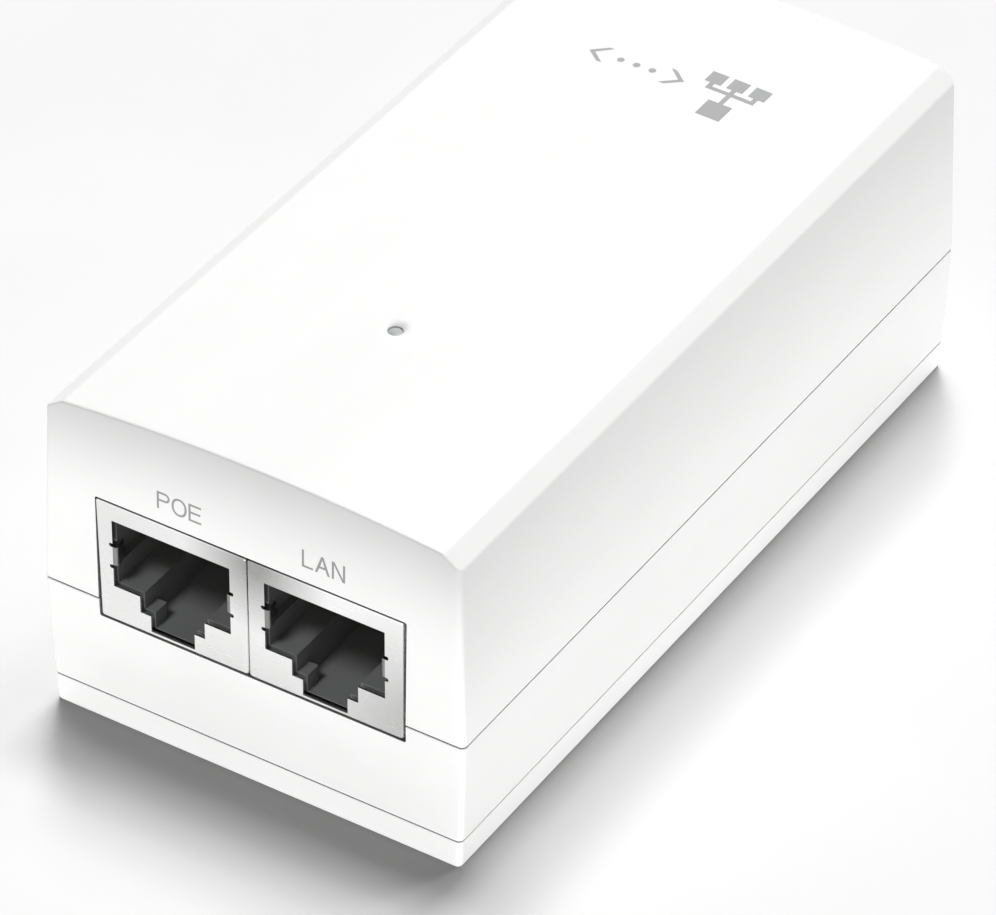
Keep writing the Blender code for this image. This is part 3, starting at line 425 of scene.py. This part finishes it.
def make_materials():
    """Every material by a short key. Colours are linear, grain is per metre."""
    matt = (0.5, 0.6)
    return {
        "shell": moulded("shell_white", WHITE),
        # painted shade: dark grey for the reveal round the jacks, where shade falls
        "reveal": moulded("reveal_grey", (0.2, 0.2, 0.2), (0.6, 0.7)),
        "bracket": moulded("bracket_white", WHITE, (0.46, 0.54)),
        "insert": moulded("jack_black", (0.085, 0.088, 0.087), (0.42, 0.54), 7000.0, 0.003, 0.1),
        "inlet": moulded("inlet_black", (0.028, 0.028, 0.03), (0.3, 0.4), 8000.0, 0.003, 0.12),
        "tin": tin_plate(),
        "tab": sheet_metal("tab_steel", (0.28, 0.28, 0.277), (0.27, 0.32), height=0.0),
        "gold": sheet_metal("contact_gold", (0.86, 0.64, 0.3), (0.16, 0.26), (14.0, 1.0, 1.0)),
        "nickel": sheet_metal(
            "blade_nickel", (0.74, 0.72, 0.68), (0.35, 0.45), (1.0, 14.0, 1.0), 0.0
        ),
        "zinc": sheet_metal("screw_zinc", (0.62, 0.62, 0.63), (0.28, 0.4), (6.0, 6.0, 1.0)),
        "aluminium": sheet_metal(
            "sink_aluminium", (0.76, 0.77, 0.78), (0.3, 0.45), (1.0, 1.0, 10.0)
        ),
        "copper": sheet_metal("wire_copper", (0.72, 0.33, 0.15), (0.2, 0.32), (1.0, 1.0, 8.0)),
        "ink": moulded("label_ink", (0.29, 0.293, 0.296), matt, 6000.0, 0.002, 0.05),
        "mark": moulded("mark_ink", (0.34, 0.34, 0.343), matt, 6000.0, 0.002, 0.04),
        "pipe": moulded("light_pipe", (0.36, 0.37, 0.37), (0.35, 0.45), 5000.0, 0.002, 0.08),
        "ferrite": moulded("ferrite_grey", (0.1, 0.1, 0.108), (0.5, 0.65), 2600.0, 0.02, 0.25),
        "tape": moulded("winding_tape", (0.84, 0.63, 0.1), (0.25, 0.4), 1500.0, 0.006, 0.1),
        "sleeve": moulded("can_sleeve", (0.03, 0.04, 0.12), (0.22, 0.34), 1200.0, 0.004, 0.15),
        "film": moulded("film_box", (0.74, 0.57, 0.1), (0.35, 0.45), 4000.0, 0.004, 0.06),
        "ceramic": moulded("disc_coating", (0.07, 0.22, 0.5), (0.25, 0.4), 900.0, 0.02, 0.15),
        "chip": moulded("chip_epoxy", (0.03, 0.03, 0.033), (0.45, 0.6), 6000.0, 0.005, 0.15),
        "paper": moulded("barrier_paper", (0.74, 0.7, 0.58), (0.6, 0.75), 2200.0, 0.01, 0.06),
        "board": moulded("solder_mask", (0.03, 0.2, 0.08), (0.25, 0.4), 700.0, 0.006, 0.12),
        "floor": moulded("studio_floor", (0.408,) * 3, (0.85, 0.95), 40.0, 0.01, 0.004),
    }


# ---- outer skins --------------------------------------------------------------------
# Distances of the roof's rings from its rim, closest where the chamfers meet the crown.
ROOF_INSETS = [EDGE_ROUND * (1 - math.cos(math.pi / 2 * i / 7)) for i in range(8)]
ROOF_INSETS += [0.55, 0.75, 1.0, 1.25, 1.45, 1.55, 1.63, 1.71, 1.79, 1.87, 1.95, 2.05, 2.25, 2.55]

# Places along x of the points on a ring's short sides, shared by all rings.
ACROSS = sorted({SHOULDER[0] - inset for inset in ROOF_INSETS if inset >= CORNER})
ACROSS = [ACROSS[0] * i / 16 for i in range(16)] + ACROSS
ACROSS = [-x for x in ACROSS[:0:-1]] + ACROSS


def section(half_x, half_y, inset=0.0):
    """Points of a rounded rectangle. Its short sides have points at the same x at any inset."""
    arc = 7
    hx, hy = half_x - inset, half_y - inset
    radius = max(CORNER - inset, 0.0001)
    end = hx - radius
    points = []
    for sign in (-1, 1):
        points += [(-sign * max(-end, min(end, x)), sign * hy) for x in ACROSS]
        for turn, cy in ((0, sign * (hy - radius)), (1, -sign * (hy - radius))):
            cx = -sign * end
            start = sign * math.pi / 2 + turn * math.pi / 2
            if turn:
                points.append((cx - sign * radius, cy))
            for i in range(1, arc):
                angle = start + math.pi / 2 * i / arc
                points.append((cx + radius * math.cos(angle), cy + radius * math.sin(angle)))
            if not turn:
                points.append((cx - sign * radius, cy))
    return points


def level(low, high, z, inset=0.0):
    """A ring at height z of the walls that lean from one section to another."""
    share = (z - low[2]) / (high[2] - low[2])
    half_x, half_y = (a + (b - a) * share for a, b in zip(low[:2], high[:2]))
    return [(x, y, z) for x, y in section(half_x, half_y, inset)]


def roof(x):
    """Height of the roof: a low crown that blends into the long chamfers."""
    crown = CROWN_Z - CROWN_DROP * x * x
    chamfer = SHOULDER[2] + (SHOULDER[0] - abs(x)) * CHAMFER_SLOPE
    blend = math.log1p(math.exp(-abs(crown - chamfer) / CHAMFER_BLEND))
    return min(crown, chamfer) - CHAMFER_BLEND * blend


def roof_ring(inset, drop=0.0):
    """A ring of the roof, which falls at its rim so that the rim is round."""
    fall = drop
    if inset < EDGE_ROUND:
        fall += EDGE_ROUND - math.sqrt(EDGE_ROUND**2 - (EDGE_ROUND - inset) ** 2)
    lean_x = (WIDEST[0] - SHOULDER[0]) / (SHOULDER[2] - WIDEST[2]) / SHOULDER[0]
    lean_y = (WIDEST[1] - SHOULDER[1]) / (SHOULDER[2] - WIDEST[2]) / SHOULDER[1]
    ring = []
    for x, y in section(SHOULDER[0], SHOULDER[1], inset):
        z = roof(x) - fall
        rise = z - SHOULDER[2]
        ring.append((x * (1 - lean_x * rise), y * (1 - lean_y * rise), z))
    return ring


def make_cover_skin():
    """The cover's outside as one solid: leaning walls, round rim, chamfers and crown."""
    foot = WIDEST[2] + SEAM_HALF
    rings = [
        level(WIDEST, SHOULDER, foot + UNDERCUT, UNDERCUT_INSET),
        level(WIDEST, SHOULDER, foot, SEAM_EDGE),
        level(WIDEST, SHOULDER, foot + SEAM_EDGE),
        level(WIDEST, SHOULDER, foot + 0.2),
        roof_ring(0.0, 0.6),
        roof_ring(0.0, 0.1),
    ]
    rings += [roof_ring(inset) for inset in ROOF_INSETS]
    bm = bmesh.new()
    rows = bridge(bm, rings)
    bm.faces.new(rows[0])
    last, across = rows[-1], len(ACROSS) - 1
    for i in range(across):
        j = len(last) // 2 + across - i
        bm.faces.new((last[i], last[i + 1], last[j - 1], last[j]))
    return new_piece("cover_skin", bm)


def round_outline(low, high, radius):
    """Outline of a rectangle between two corners, with round corners."""
    steps = 5
    points = []
    for quarter, (u, v) in enumerate([(1, 1), (0, 1), (0, 0), (1, 0)]):
        cu = high[0] - radius if u else low[0] + radius
        cv = high[1] - radius if v else low[1] + radius
        for i in range(steps + 1):
            angle = math.pi / 2 * (quarter + i / steps)
            points.append((cu + radius * math.cos(angle), cv + radius * math.sin(angle)))
    return points


def inlet_window():
    """Cutter for the mains inlet's opening: a rectangle with its upper corners cut off."""
    gap = 0.12
    half, low, high = 13.7 + gap, 7.7 - gap, 27.5 + gap
    corner = 4.8 + gap * (math.sqrt(2) - 1)
    outline = [
        (-half, low),
        (half, low),
        (half, high - corner),
        (half - corner, high),
        (corner - half, high),
        (-half, high - corner),
    ]
    return prism(outline, "y", 40.6, 45)


def lean_left(points):
    """Leans the left side of the jacks' opening, and of the can in it, out towards the top."""
    edge, foot, slope = JACK_X["poe"] - 7, 12.4, 0.014
    return [(x - max(0.0, z - foot) * slope if x < edge else x, z) for x, z in points]


def jack_window(low, high):
    """Cutter for the jacks' opening between two heights."""
    left, right, corner = JACK_X["poe"] - 7.72, JACK_X["lan"] + 8.32, 0.2
    outline = lean_left(round_outline((left, low), (right, high), corner))
    return prism(outline, "y", -45, -40.6)


def wrap(skin, node, inner, outer):
    """Puts a fine outside round the middle of a CAD node. Both blocks end inside its walls."""
    cut(skin, inner)
    return fuse(skin, keep(copy_of(node), outer))


def make_cover():
    """The upper shell, with the two openings and the light's dimple."""
    inner = [(-20.1, 10), (20.1, 10), (20.1, 32.4), (18.6, 33.4), (-18.6, 33.4), (-20.1, 32.4)]
    outer = [(-21.5, 10), (21.5, 10), (21.5, 14.1), (20.3, 14.1), (20.3, 32.5), (18.7, 33.6)]
    outer += [(-x, z) for x, z in outer[:1:-1]]
    cover = wrap(
        make_cover_skin(),
        "top_cover",
        prism(inner, "y", -41.7, 41.7),
        prism(outer, "y", -41.9, 41.9),
    )
    hole, rim, depth, decay = 0.72, 35.12, 0.28, 0.34
    dimple = [(hole, 30.0)]
    dimple += [(hole + 0.1 * i, rim - depth * math.exp(-0.1 * i / decay)) for i in range(14)]
    dimple.append((hole + 1.4, 35.3))
    return cut(cover, jack_window(8, 25.27), inlet_window(), lathe(dimple, LED_XY))


def make_base():
    """The lower shell of the case, undercut at both of its seams."""
    low, high = CASE_FOOT[2] + 0.03, WIDEST[2] - SEAM_HALF
    rings = [
        level(CASE_FOOT, WIDEST, low + UNDERCUT, UNDERCUT_INSET),
        level(CASE_FOOT, WIDEST, low, SEAM_EDGE),
        level(CASE_FOOT, WIDEST, low + SEAM_EDGE),
        level(CASE_FOOT, WIDEST, high - SEAM_EDGE),
        level(CASE_FOOT, WIDEST, high, SEAM_EDGE),
        level(CASE_FOOT, WIDEST, high - UNDERCUT, UNDERCUT_INSET),
    ]
    base = wrap(
        loft(rings),
        "bottom_case",
        block((-21.1, 21.1), (-42.4, 42.4), (1, 16)),
        block((-21.3, 21.3), (-42.6, 42.6), (2, 15)),
    )
    return cut(base, jack_window(12.14, 18), inlet_window())


def make_bracket():
    """The wall bracket's tray, round at its foot and undercut at its seam."""
    low, high = 0.003, 2.99
    rings = []
    for i in range(6):
        angle = math.pi / 2 * i / 5
        z = low + FOOT_ROUND * (1 - math.cos(angle))
        inset = FOOT_ROUND * (1 - math.sin(angle))
        rings.append(level(BRACKET_FOOT, BRACKET_TOP, z, inset))
    rings += [
        level(BRACKET_FOOT, BRACKET_TOP, high - SEAM_EDGE),
        level(BRACKET_FOOT, BRACKET_TOP, high, SEAM_EDGE),
        level(BRACKET_FOOT, BRACKET_TOP, high - UNDERCUT, UNDERCUT_INSET),
    ]
    return wrap(
        loft(rings),
        "wall_bracket",
        block((-20.7, 20.7), (-42.25, 42.25), (-1, 5)),
        block((-20.9, 20.9), (-42.45, 42.45), (-1, 6)),
    )


# ---- jacks --------------------------------------------------------------------------
# Half of a plug opening: the wide mouth, then the stepped slot for the plug's latch.
PORT = [(6.15, 23.35), (6.15, 16.05), (3.4, 16.05), (3.4, 14.3), (2.3, 14.3), (2.3, 12.6)]
TAB_Z = (18.41, 20.39)


def port_outline(x):
    """The whole plug opening of the jack at x."""
    return [(x - half, z) for half, z in PORT] + [(x + half, z) for half, z in PORT[::-1]]


def make_shield(x):
    """A folded can of thin plated steel: round folds down its sides, a crisp one on top."""
    low, high, rear = 12.27, 25.1, -25.1
    side_fold, top_fold, sheet, wall = 0.18, 0.1, 0.2, 0.3
    left, right = (7.62, 7.905) if x < 0 else (7.905, 8.0)  # the outer sides differ a little
    rings = []
    for i in range(7):
        angle = math.pi / 2 * i / 6
        inset = 1 - math.sin(angle)
        y = JACK_FACE + side_fold * (1 - math.cos(angle))
        low_corner = (x - left + side_fold * inset, low + top_fold * inset)
        high_corner = (x + right - side_fold * inset, high - top_fold * inset)
        outline = lean_left(round_outline(low_corner, high_corner, 0.2))
        rings.append([(u, y, v) for u, v in outline])
    rings.append([(u, rear, v) for u, _, v in rings[-1]])
    can = loft(rings)
    inside = (x - left + wall, x + right - wall)
    cut(can, block(inside, (JACK_FACE + sheet, rear - wall), (10, high - wall)))
    cut(can, prism(port_outline(x), "y", JACK_FACE - 1, JACK_FACE + 1))
    notches = []
    notch_half, notch_depth, overlap = 0.2, 0.36, 0.3
    for side in (-1, 1):
        edge = x + side * PORT[0][0]
        start, end = sorted((edge - side * overlap, edge + side * notch_depth))
        for z in (TAB_Z[0] - notch_half, TAB_Z[1] + notch_half):
            outline = round_outline((start, z - notch_half), (end, z + notch_half), 0.17)
            notches.append(prism(outline, "y", JACK_FACE - 1, JACK_FACE + 1))
    return cut(can, *notches)


def make_spring_tab(x, side):
    """A short spring tab: flush with the can's face, then rolled back beside the plug."""
    root = x + side * (PORT[0][0] + 0.3)
    reach, roll, run, sheet = 0.78, 0.3, 1.1, 0.18
    outer, inner = [(0.0, 0.0)], [(0.0, sheet)]
    sides = ((outer, roll), (inner, roll - sheet))
    for i in range(9):
        angle = math.pi / 2 * i / 8
        for row, radius in sides:
            row.append((reach - roll + radius * math.sin(angle), roll - radius * math.cos(angle)))
    for row, radius in sides:
        row.append((reach - roll + radius - 0.25, roll + run))
    ring = [(root - side * u, JACK_FACE + 0.02 + v) for u, v in outer + inner[::-1]]
    return loft([[(u, v, z) for u, v in ring] for z in TAB_Z])


def finger_path():
    """Middle line of a contact wire, as (y, z): a round nose, a long run and a lifted end."""
    path = []
    for i in range(7):
        angle = math.radians(90 - 36 * i / 6)
        path.append((-41.08 + 0.12 * math.cos(angle), 23.98 - 0.06 * i / 6))
    for i in range(1, 9):
        sag = 0.1 * math.sin(math.pi * i / 8)
        path.append((-41.05 + 7.75 * i / 8, 23.92 - 2.48 * i / 8 - sag))
    return path + [(-32.85, 21.42), (-32.5, 21.5)]


def make_fingers(x):
    """Eight gilt contact wires of oval section, as one mesh."""
    half_width, half_height, sides = 0.185, 0.13, 10
    turns = [math.tau * (k + 0.5) / sides for k in range(sides)]
    oval_section = [(half_width * math.cos(a), half_height * math.sin(a)) for a in turns]
    bm = bmesh.new()
    for index in range(CONTACTS):
        centre = x + (index - (CONTACTS - 1) / 2) * CONTACT_PITCH
        solid(bm, [[(centre + u, y, z + v) for u, v in oval_section] for y, z in finger_path()])
    return new_piece("fingers", bm)


# ---- printed marks ------------------------------------------------------------------
PRINT_THICKNESS = 0.1  # most of it is sunk in the wall
LABEL_HEIGHT, LABEL_PEN, LABEL_GAP = 1.84, 0.21, 0.2


def flat_shape(loops, thickness):
    """A thin plate in x and y from closed loops. A loop inside another is a hole."""
    curve = bpy.data.curves.new("mark", "CURVE")
    curve.dimensions = "2D"
    curve.fill_mode = "BOTH"
    curve.extrude = thickness / 2
    for loop in loops:
        spline = curve.splines.new("POLY")
        spline.points.add(len(loop) - 1)
        for point, (u, v) in zip(spline.points, loop):
            point.co = (u, v, 0.0, 1.0)
        spline.use_cyclic_u = True
    obj = link(bpy.data.objects.new("mark", curve))
    graph = bpy.context.evaluated_depsgraph_get()
    mesh = bpy.data.meshes.new_from_object(obj.evaluated_get(graph))
    bpy.data.objects.remove(obj)
    bm = bmesh.new()
    bm.from_mesh(mesh)
    return bm


def oval(cu, cv, ru, rv, steps, power=1.0):
    """Outline of an oval. A power under one makes it squarer."""
    points = []
    for i in range(steps):
        c, s = math.cos(math.tau * i / steps), math.sin(math.tau * i / steps)
        u = math.copysign(abs(c) ** power, c)
        v = math.copysign(abs(s) ** power, s)
        points.append((cu + ru * u, cv + rv * v))
    return points


def letter(which, left, width, height, pen):
    """Loops of a plain capital letter in a box that starts at left."""
    right, top, mid = left + width, height, height * 0.52
    stem = left + pen
    if which == "L":
        return [[(left, 0), (right, 0), (right, pen), (stem, pen), (stem, top), (left, top)]]
    if which == "E":
        a, b, middle = mid - pen / 2, mid + pen / 2, right - 0.1
        return [
            [(left, 0), (right, 0), (right, pen), (stem, pen), (stem, a), (middle, a)]
            + [(middle, b), (stem, b), (stem, top - pen), (right, top - pen)]
            + [(right, top), (left, top)]
        ]
    if which == "N":
        slant = pen * 1.25
        return [
            [(left, 0), (stem, 0), (stem, top - slant * 1.2), (right - slant, 0), (right, 0)]
            + [(right, top), (right - pen, top), (right - pen, slant * 1.2)]
            + [(left + slant, top), (left, top)]
        ]
    if which == "A":
        centre, slant = (left + right) / 2, pen * 1.08
        bar = height * 0.3
        inner = (right - left) / 2 * (1 - (bar + pen) / height) - slant * 0.95
        foot = (right - left) / 2 * (1 - bar / height) - slant * 0.95
        return [
            [(left, 0), (left + slant, 0), (centre - foot, bar), (centre + foot, bar)]
            + [(right - slant, 0), (right, 0), (centre + slant / 2, top)]
            + [(centre - slant / 2, top)],
            [(centre - inner, bar + pen), (centre, top - pen * 1.5), (centre + inner, bar + pen)],
        ]
    if which == "O":
        cu, cv = (left + right) / 2, height / 2
        ru, rv = width / 2, height / 2 + 0.02
        return [oval(cu, cv, ru, rv, 40, 0.9), oval(cu, cv, ru - pen, rv - pen, 40, 0.9)]
    bowl = height * 0.27  # the only other letter is P
    cu, cv = right - bowl, top - bowl
    turns = [-math.pi / 2 + math.pi * i / 12 for i in range(13)]
    outer = [(left, 0), (stem, 0), (stem, cv - bowl)]
    outer += [(cu + bowl * math.cos(a), cv + bowl * math.sin(a)) for a in turns]
    outer.append((left, top))
    hole = [(stem, cv - bowl + pen)]
    hole += [(cu + (bowl - pen) * math.cos(a), cv + (bowl - pen) * math.sin(a)) for a in turns]
    hole.append((stem, top - pen))
    return [outer, hole]


def make_label(letters, x, z):
    """A word in thin capitals on the leaning front wall, a hair proud of it."""
    loops = []
    cursor = 0.0
    for which, width in letters:
        loops += letter(which, cursor, width, LABEL_HEIGHT, LABEL_PEN)
        cursor += width + LABEL_GAP
    bm = flat_shape(loops, PRINT_THICKNESS)
    lean = (WIDEST[1] - SHOULDER[1]) / (SHOULDER[2] - WIDEST[2])
    wall_y = -(WIDEST[1] - lean * (z - WIDEST[2]))
    tilt = math.pi / 2 - math.atan(lean)
    bm.transform(Matrix.Translation((x, wall_y + 0.04, z)) @ Matrix.Rotation(tilt, 4, "X"))
    return new_piece("label", bm)


def tree_outline(cu, cv):
    """A generic network sign: one square on a trunk that branches to three smaller squares."""
    root, leaf, line, spread = 1.25, 0.85, 0.24, 2.3
    bar, drop = 1.0, 1.75
    right = [(root, -3.2), (root, -0.7), (line, -0.7), (line, bar - line)]
    right += [(spread + line, bar - line), (spread + line, drop), (spread + leaf, drop)]
    right += [(spread + leaf, drop + 2 * leaf), (spread - leaf, drop + 2 * leaf)]
    right += [(spread - leaf, drop), (spread - line, drop), (spread - line, bar + line)]
    right += [(line, bar + line), (line, drop), (leaf, drop), (leaf, drop + 2 * leaf)]
    left = [(-u, v) for u, v in right[::-1]]
    return [(cu + u, cv + v) for u, v in right + left]


def make_network_mark():
    """A generic port sign, two chevrons round three dots, and a network tree beside it."""
    loops = [tree_outline(6.15, 25.9)]
    mid, rise, pen = 26.35, 1.25, 0.42
    for tip, side in ((-8.6, 1), (1.6, -1)):
        chevron = [(0, 0), (1.5, rise), (1.5 + pen * 1.3, rise), (pen * 1.5, 0)]
        chevron += [(u, -v) for u, v in chevron[2:0:-1]]
        loops.append([(tip + side * u, mid + v) for u, v in chevron])
    for i in range(3):
        loops.append(oval(-3.5 + (i - 1) * 1.7, mid, 0.36, 0.36, 20))
    bm = flat_shape(loops, PRINT_THICKNESS)
    for i in range(-12, 14):  # cut into strips, to follow the roof's crown
        geometry = bm.verts[:] + bm.edges[:] + bm.faces[:]
        bmesh.ops.bisect_plane(bm, geom=geometry, plane_co=(i * 0.75, 0, 0), plane_no=(1, 0, 0))
    for vert in bm.verts:
        vert.co.z += roof(vert.co.x) - 0.042
    return new_piece("mark", bm)


# ---- carried-over CAD nodes ---------------------------------------------------------
# The first key found in a node's name gives its material, or the width of its round edges.
CAD_LOOKS = {
    "insert": "insert",
    "contact_carrier": "insert",
    "inlet_body": "inlet",
    "blade": "nickel",
    "case_screw": "zinc",
    "insulation": "paper",
    "main_board": "board",
    "core": "ferrite",
    "output_inductor": "ferrite",
    "transformer_winding": "tape",
    "choke_winding": "copper",
    "bulk_capacitor": "sleeve",
    "output_capacitor": "sleeve",
    "x_capacitor": "film",
    "y_capacitor": "ceramic",
    "varistor": "ceramic",
    "heat_sink": "aluminium",
    "fuse": "chip",
    "rectifier": "chip",
    "controller": "chip",
    "optocoupler": "chip",
    "magnetics": "chip",
    "led": "pipe",
}
CAD_BEVELS = {
    "insert": 0.07,
    "inlet_body": 0.15,
    "blade": 0.12,
    "case_screw": 0.06,
    "heat_sink": 0.08,
}


def dress(name, obj, materials):
    """Gives a CAD node its material and, where its edges show, small round edges."""
    look = next(look for key, look in CAD_LOOKS.items() if key in name)
    obj.data.materials.clear()
    obj.data.materials.append(materials[look])
    width = next((width for key, width in CAD_BEVELS.items() if key in name), None)
    if width:
        weld = obj.modifiers.new("weld", "WELD")
        weld.merge_threshold = WELD
        bevel = obj.modifiers.new("bevel", "BEVEL")
        bevel.width = width * MM
        bevel.segments = 3
        bevel.limit_method = "ANGLE"
        bevel.angle_limit = math.radians(35)
        bevel.use_clamp_overlap = True
        bevel.harden_normals = True


# ---- studio -------------------------------------------------------------------------
def make_camera():
    """A long lens at CAMERA_PLACE, turned by its azimuth, elevation and roll."""
    sin_a, cos_a = math.sin(CAMERA_AZIMUTH), math.cos(CAMERA_AZIMUTH)
    sin_e, cos_e = math.sin(CAMERA_ELEVATION), math.cos(CAMERA_ELEVATION)
    back = Vector((sin_a * cos_e, -cos_a * cos_e, sin_e))
    right = Vector((cos_a, sin_a, 0.0))
    up = back.cross(right)
    cos_r, sin_r = math.cos(CAMERA_ROLL), math.sin(CAMERA_ROLL)
    across = right * cos_r + up * sin_r
    upward = up * cos_r - right * sin_r
    data = bpy.data.cameras.new("camera")
    data.lens = CAMERA_LENS
    data.sensor_width = SENSOR
    data.clip_start = 0.01
    camera = link(bpy.data.objects.new("camera", data))
    axes = Matrix((across, upward, back)).transposed().to_4x4()
    camera.matrix_world = Matrix.Translation(Vector(CAMERA_PLACE) * MM) @ axes
    bpy.context.scene.camera = camera


def make_floor(material):
    """A wide pale sweep, level under the object and rising far behind it."""
    turns = [math.tau * k / 48 for k in range(48)]
    rings = []
    for i in range(13):
        radius = 1500 + 250 * i
        lift = 600 * max(0, i - 6) ** 2 / 36
        rings.append([(radius * math.cos(a), radius * math.sin(a), lift) for a in turns])
    bm = bmesh.new()
    bm.faces.new(bridge(bm, rings)[0])
    floor = new_piece("floor", bm)
    floor.data.shade_smooth()
    floor.data.materials.append(material)
    floor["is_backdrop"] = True
    return floor


def direction(azimuth, elevation):
    """Unit vector from the object towards a light. Azimuth 0 is in front of the jacks."""
    a, e = math.radians(azimuth), math.radians(elevation)
    return Vector((math.sin(a) * math.cos(e), -math.cos(a) * math.cos(e), math.sin(e)))


def add_light(name, kind, power, place, towards, receivers):
    """A light that only the objects in the collection receivers get."""
    data = bpy.data.lights.new(name, kind)
    data.energy = power
    light = link(bpy.data.objects.new(name, data))
    light.location = place
    light.rotation_euler = towards.to_track_quat("-Z", "Y").to_euler()
    light.light_linking.receiver_collection = receivers
    return data


def make_suns(table, receivers):
    for azimuth, elevation, spread, power in table:
        away = direction(azimuth, elevation)
        name = f"sun_{receivers.name}_{azimuth}_{elevation}"
        data = add_light(name, "SUN", power, away, -away, receivers)
        data.angle = math.radians(spread)


def make_skimming_spot(name, receivers, azimuth, edge_height, face, blend, power):
    """A spot that faces one side. The soft upper edge of its beam shades that side's top."""
    half, distance, base = math.radians(30), 1.0, 0.02
    outward = direction(azimuth, 0)
    place = outward * (distance + face) + Vector((0, 0, base))
    tilt = math.atan2(edge_height - base, distance) - half
    towards = -outward * math.cos(tilt) + Vector((0, 0, math.sin(tilt)))
    data = add_light(name, "SPOT", power, place, towards, receivers)
    data.spot_size = 2 * half
    data.spot_blend = blend
    data.shadow_soft_size = 0.004


def make_lights(floor):
    """The floor's light and the object's are set apart, as with flags and cutters in a studio."""
    floor_only = bpy.data.collections.new("floor")
    floor_only.objects.link(floor)
    object_only = bpy.data.collections.new("object")
    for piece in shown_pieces():
        object_only.objects.link(piece)
    jacks_only = bpy.data.collections.new("jacks")
    for port in JACK_X:
        jacks_only.objects.link(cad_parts[f"{port}_jack_insert"])
    make_suns(JACK_SUNS, jacks_only)
    make_suns(FLOOR_SUNS, floor_only)
    make_suns(OBJECT_SUNS, object_only)
    for name, values in SKIMMING_SPOTS.items():
        make_skimming_spot(name, object_only, *values)


def make_world():
    """A white surround that only reflections and the camera see."""
    world = bpy.data.worlds.new("studio")
    world.cycles_visibility.diffuse = False
    world.use_nodes = True
    background = world.node_tree.nodes["Background"]
    background.inputs["Color"].default_value = (1.0, 1.0, 1.0, 1.0)
    background.inputs["Strength"].default_value = 1.0
    bpy.context.scene.world = world


# ---- assembly -----------------------------------------------------------------------
def build_shells(look):
    cover = soften(make_cover())
    finish_piece(cover, "cover_shell", look["shell"], "case", "case_plastic", "top_cover")
    base = soften(make_base())
    finish_piece(base, "base_shell", look["shell"], "case", "case_plastic", "bottom_case")
    for shell in (cover, base):
        paint_reveal_shade(shell, look["reveal"])
    bracket = soften(make_bracket())
    material, slot = look["bracket"], "bracket_plastic"
    finish_piece(bracket, "bracket_tray", material, "bracket", slot, "wall_bracket")
    profile = [(1.3, 14.15), (1.4, 14.8), (1.4, 32.2), (0.7, 32.8), (0.7, 34.66)]
    profile += [(0.64, 34.74), (0.45, 34.79), (0.2, 34.81)]
    pipe = soften(lathe(profile, LED_XY))
    finish_piece(pipe, "led_lens", look["pipe"], "case", "light_pipe", "led_light_pipe")


def build_jacks(look):
    for port, x in JACK_X.items():
        shield = soften(make_shield(x))
        name = f"{port}_shield_can"
        finish_piece(shield, name, look["tin"], "case", "plated_steel", f"{port}_jack_shield")
        for side, word in ((-1, "left"), (1, "right")):
            tab = soften(make_spring_tab(x, side))
            finish_piece(tab, f"{port}_spring_tab_{word}", look["tab"], "case", "plated_steel")
        wires = soften(make_fingers(x), 50)
        nodes = [f"{port}_contact_{i + 1}" for i in range(CONTACTS)]
        name, body = f"{port}_contact_wires", f"{port}_contacts"
        finish_piece(wires, name, look["gold"], body, "gold_contact", *nodes)


def build_marks(look):
    poe = make_label((("P", 1.34), ("O", 1.55), ("E", 1.31)), -9.57, 26.78)
    lan = make_label((("L", 1.12), ("A", 1.52), ("N", 1.34)), 5.36, 26.83)
    finish_piece(poe, "poe_legend", look["ink"], "case", "case_plastic")
    finish_piece(lan, "lan_legend", look["ink"], "case", "case_plastic")
    finish_piece(make_network_mark(), "network_sign", look["mark"], "case", "case_plastic")


def main():
    look = make_materials()
    make_camera()
    build_shells(look)
    build_jacks(look)
    build_marks(look)
    for name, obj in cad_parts.items():
        if not obj.hide_render:
            dress(name, obj, look)
    make_world()
    make_lights(make_floor(look["floor"]))
    bpy.context.scene.view_settings.view_transform = "Standard"
    boxes = {"cad": cad_bounds, "visual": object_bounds()}
    boxes = {name: [[float(v) for v in corner] for corner in box] for name, box in boxes.items()}


main()
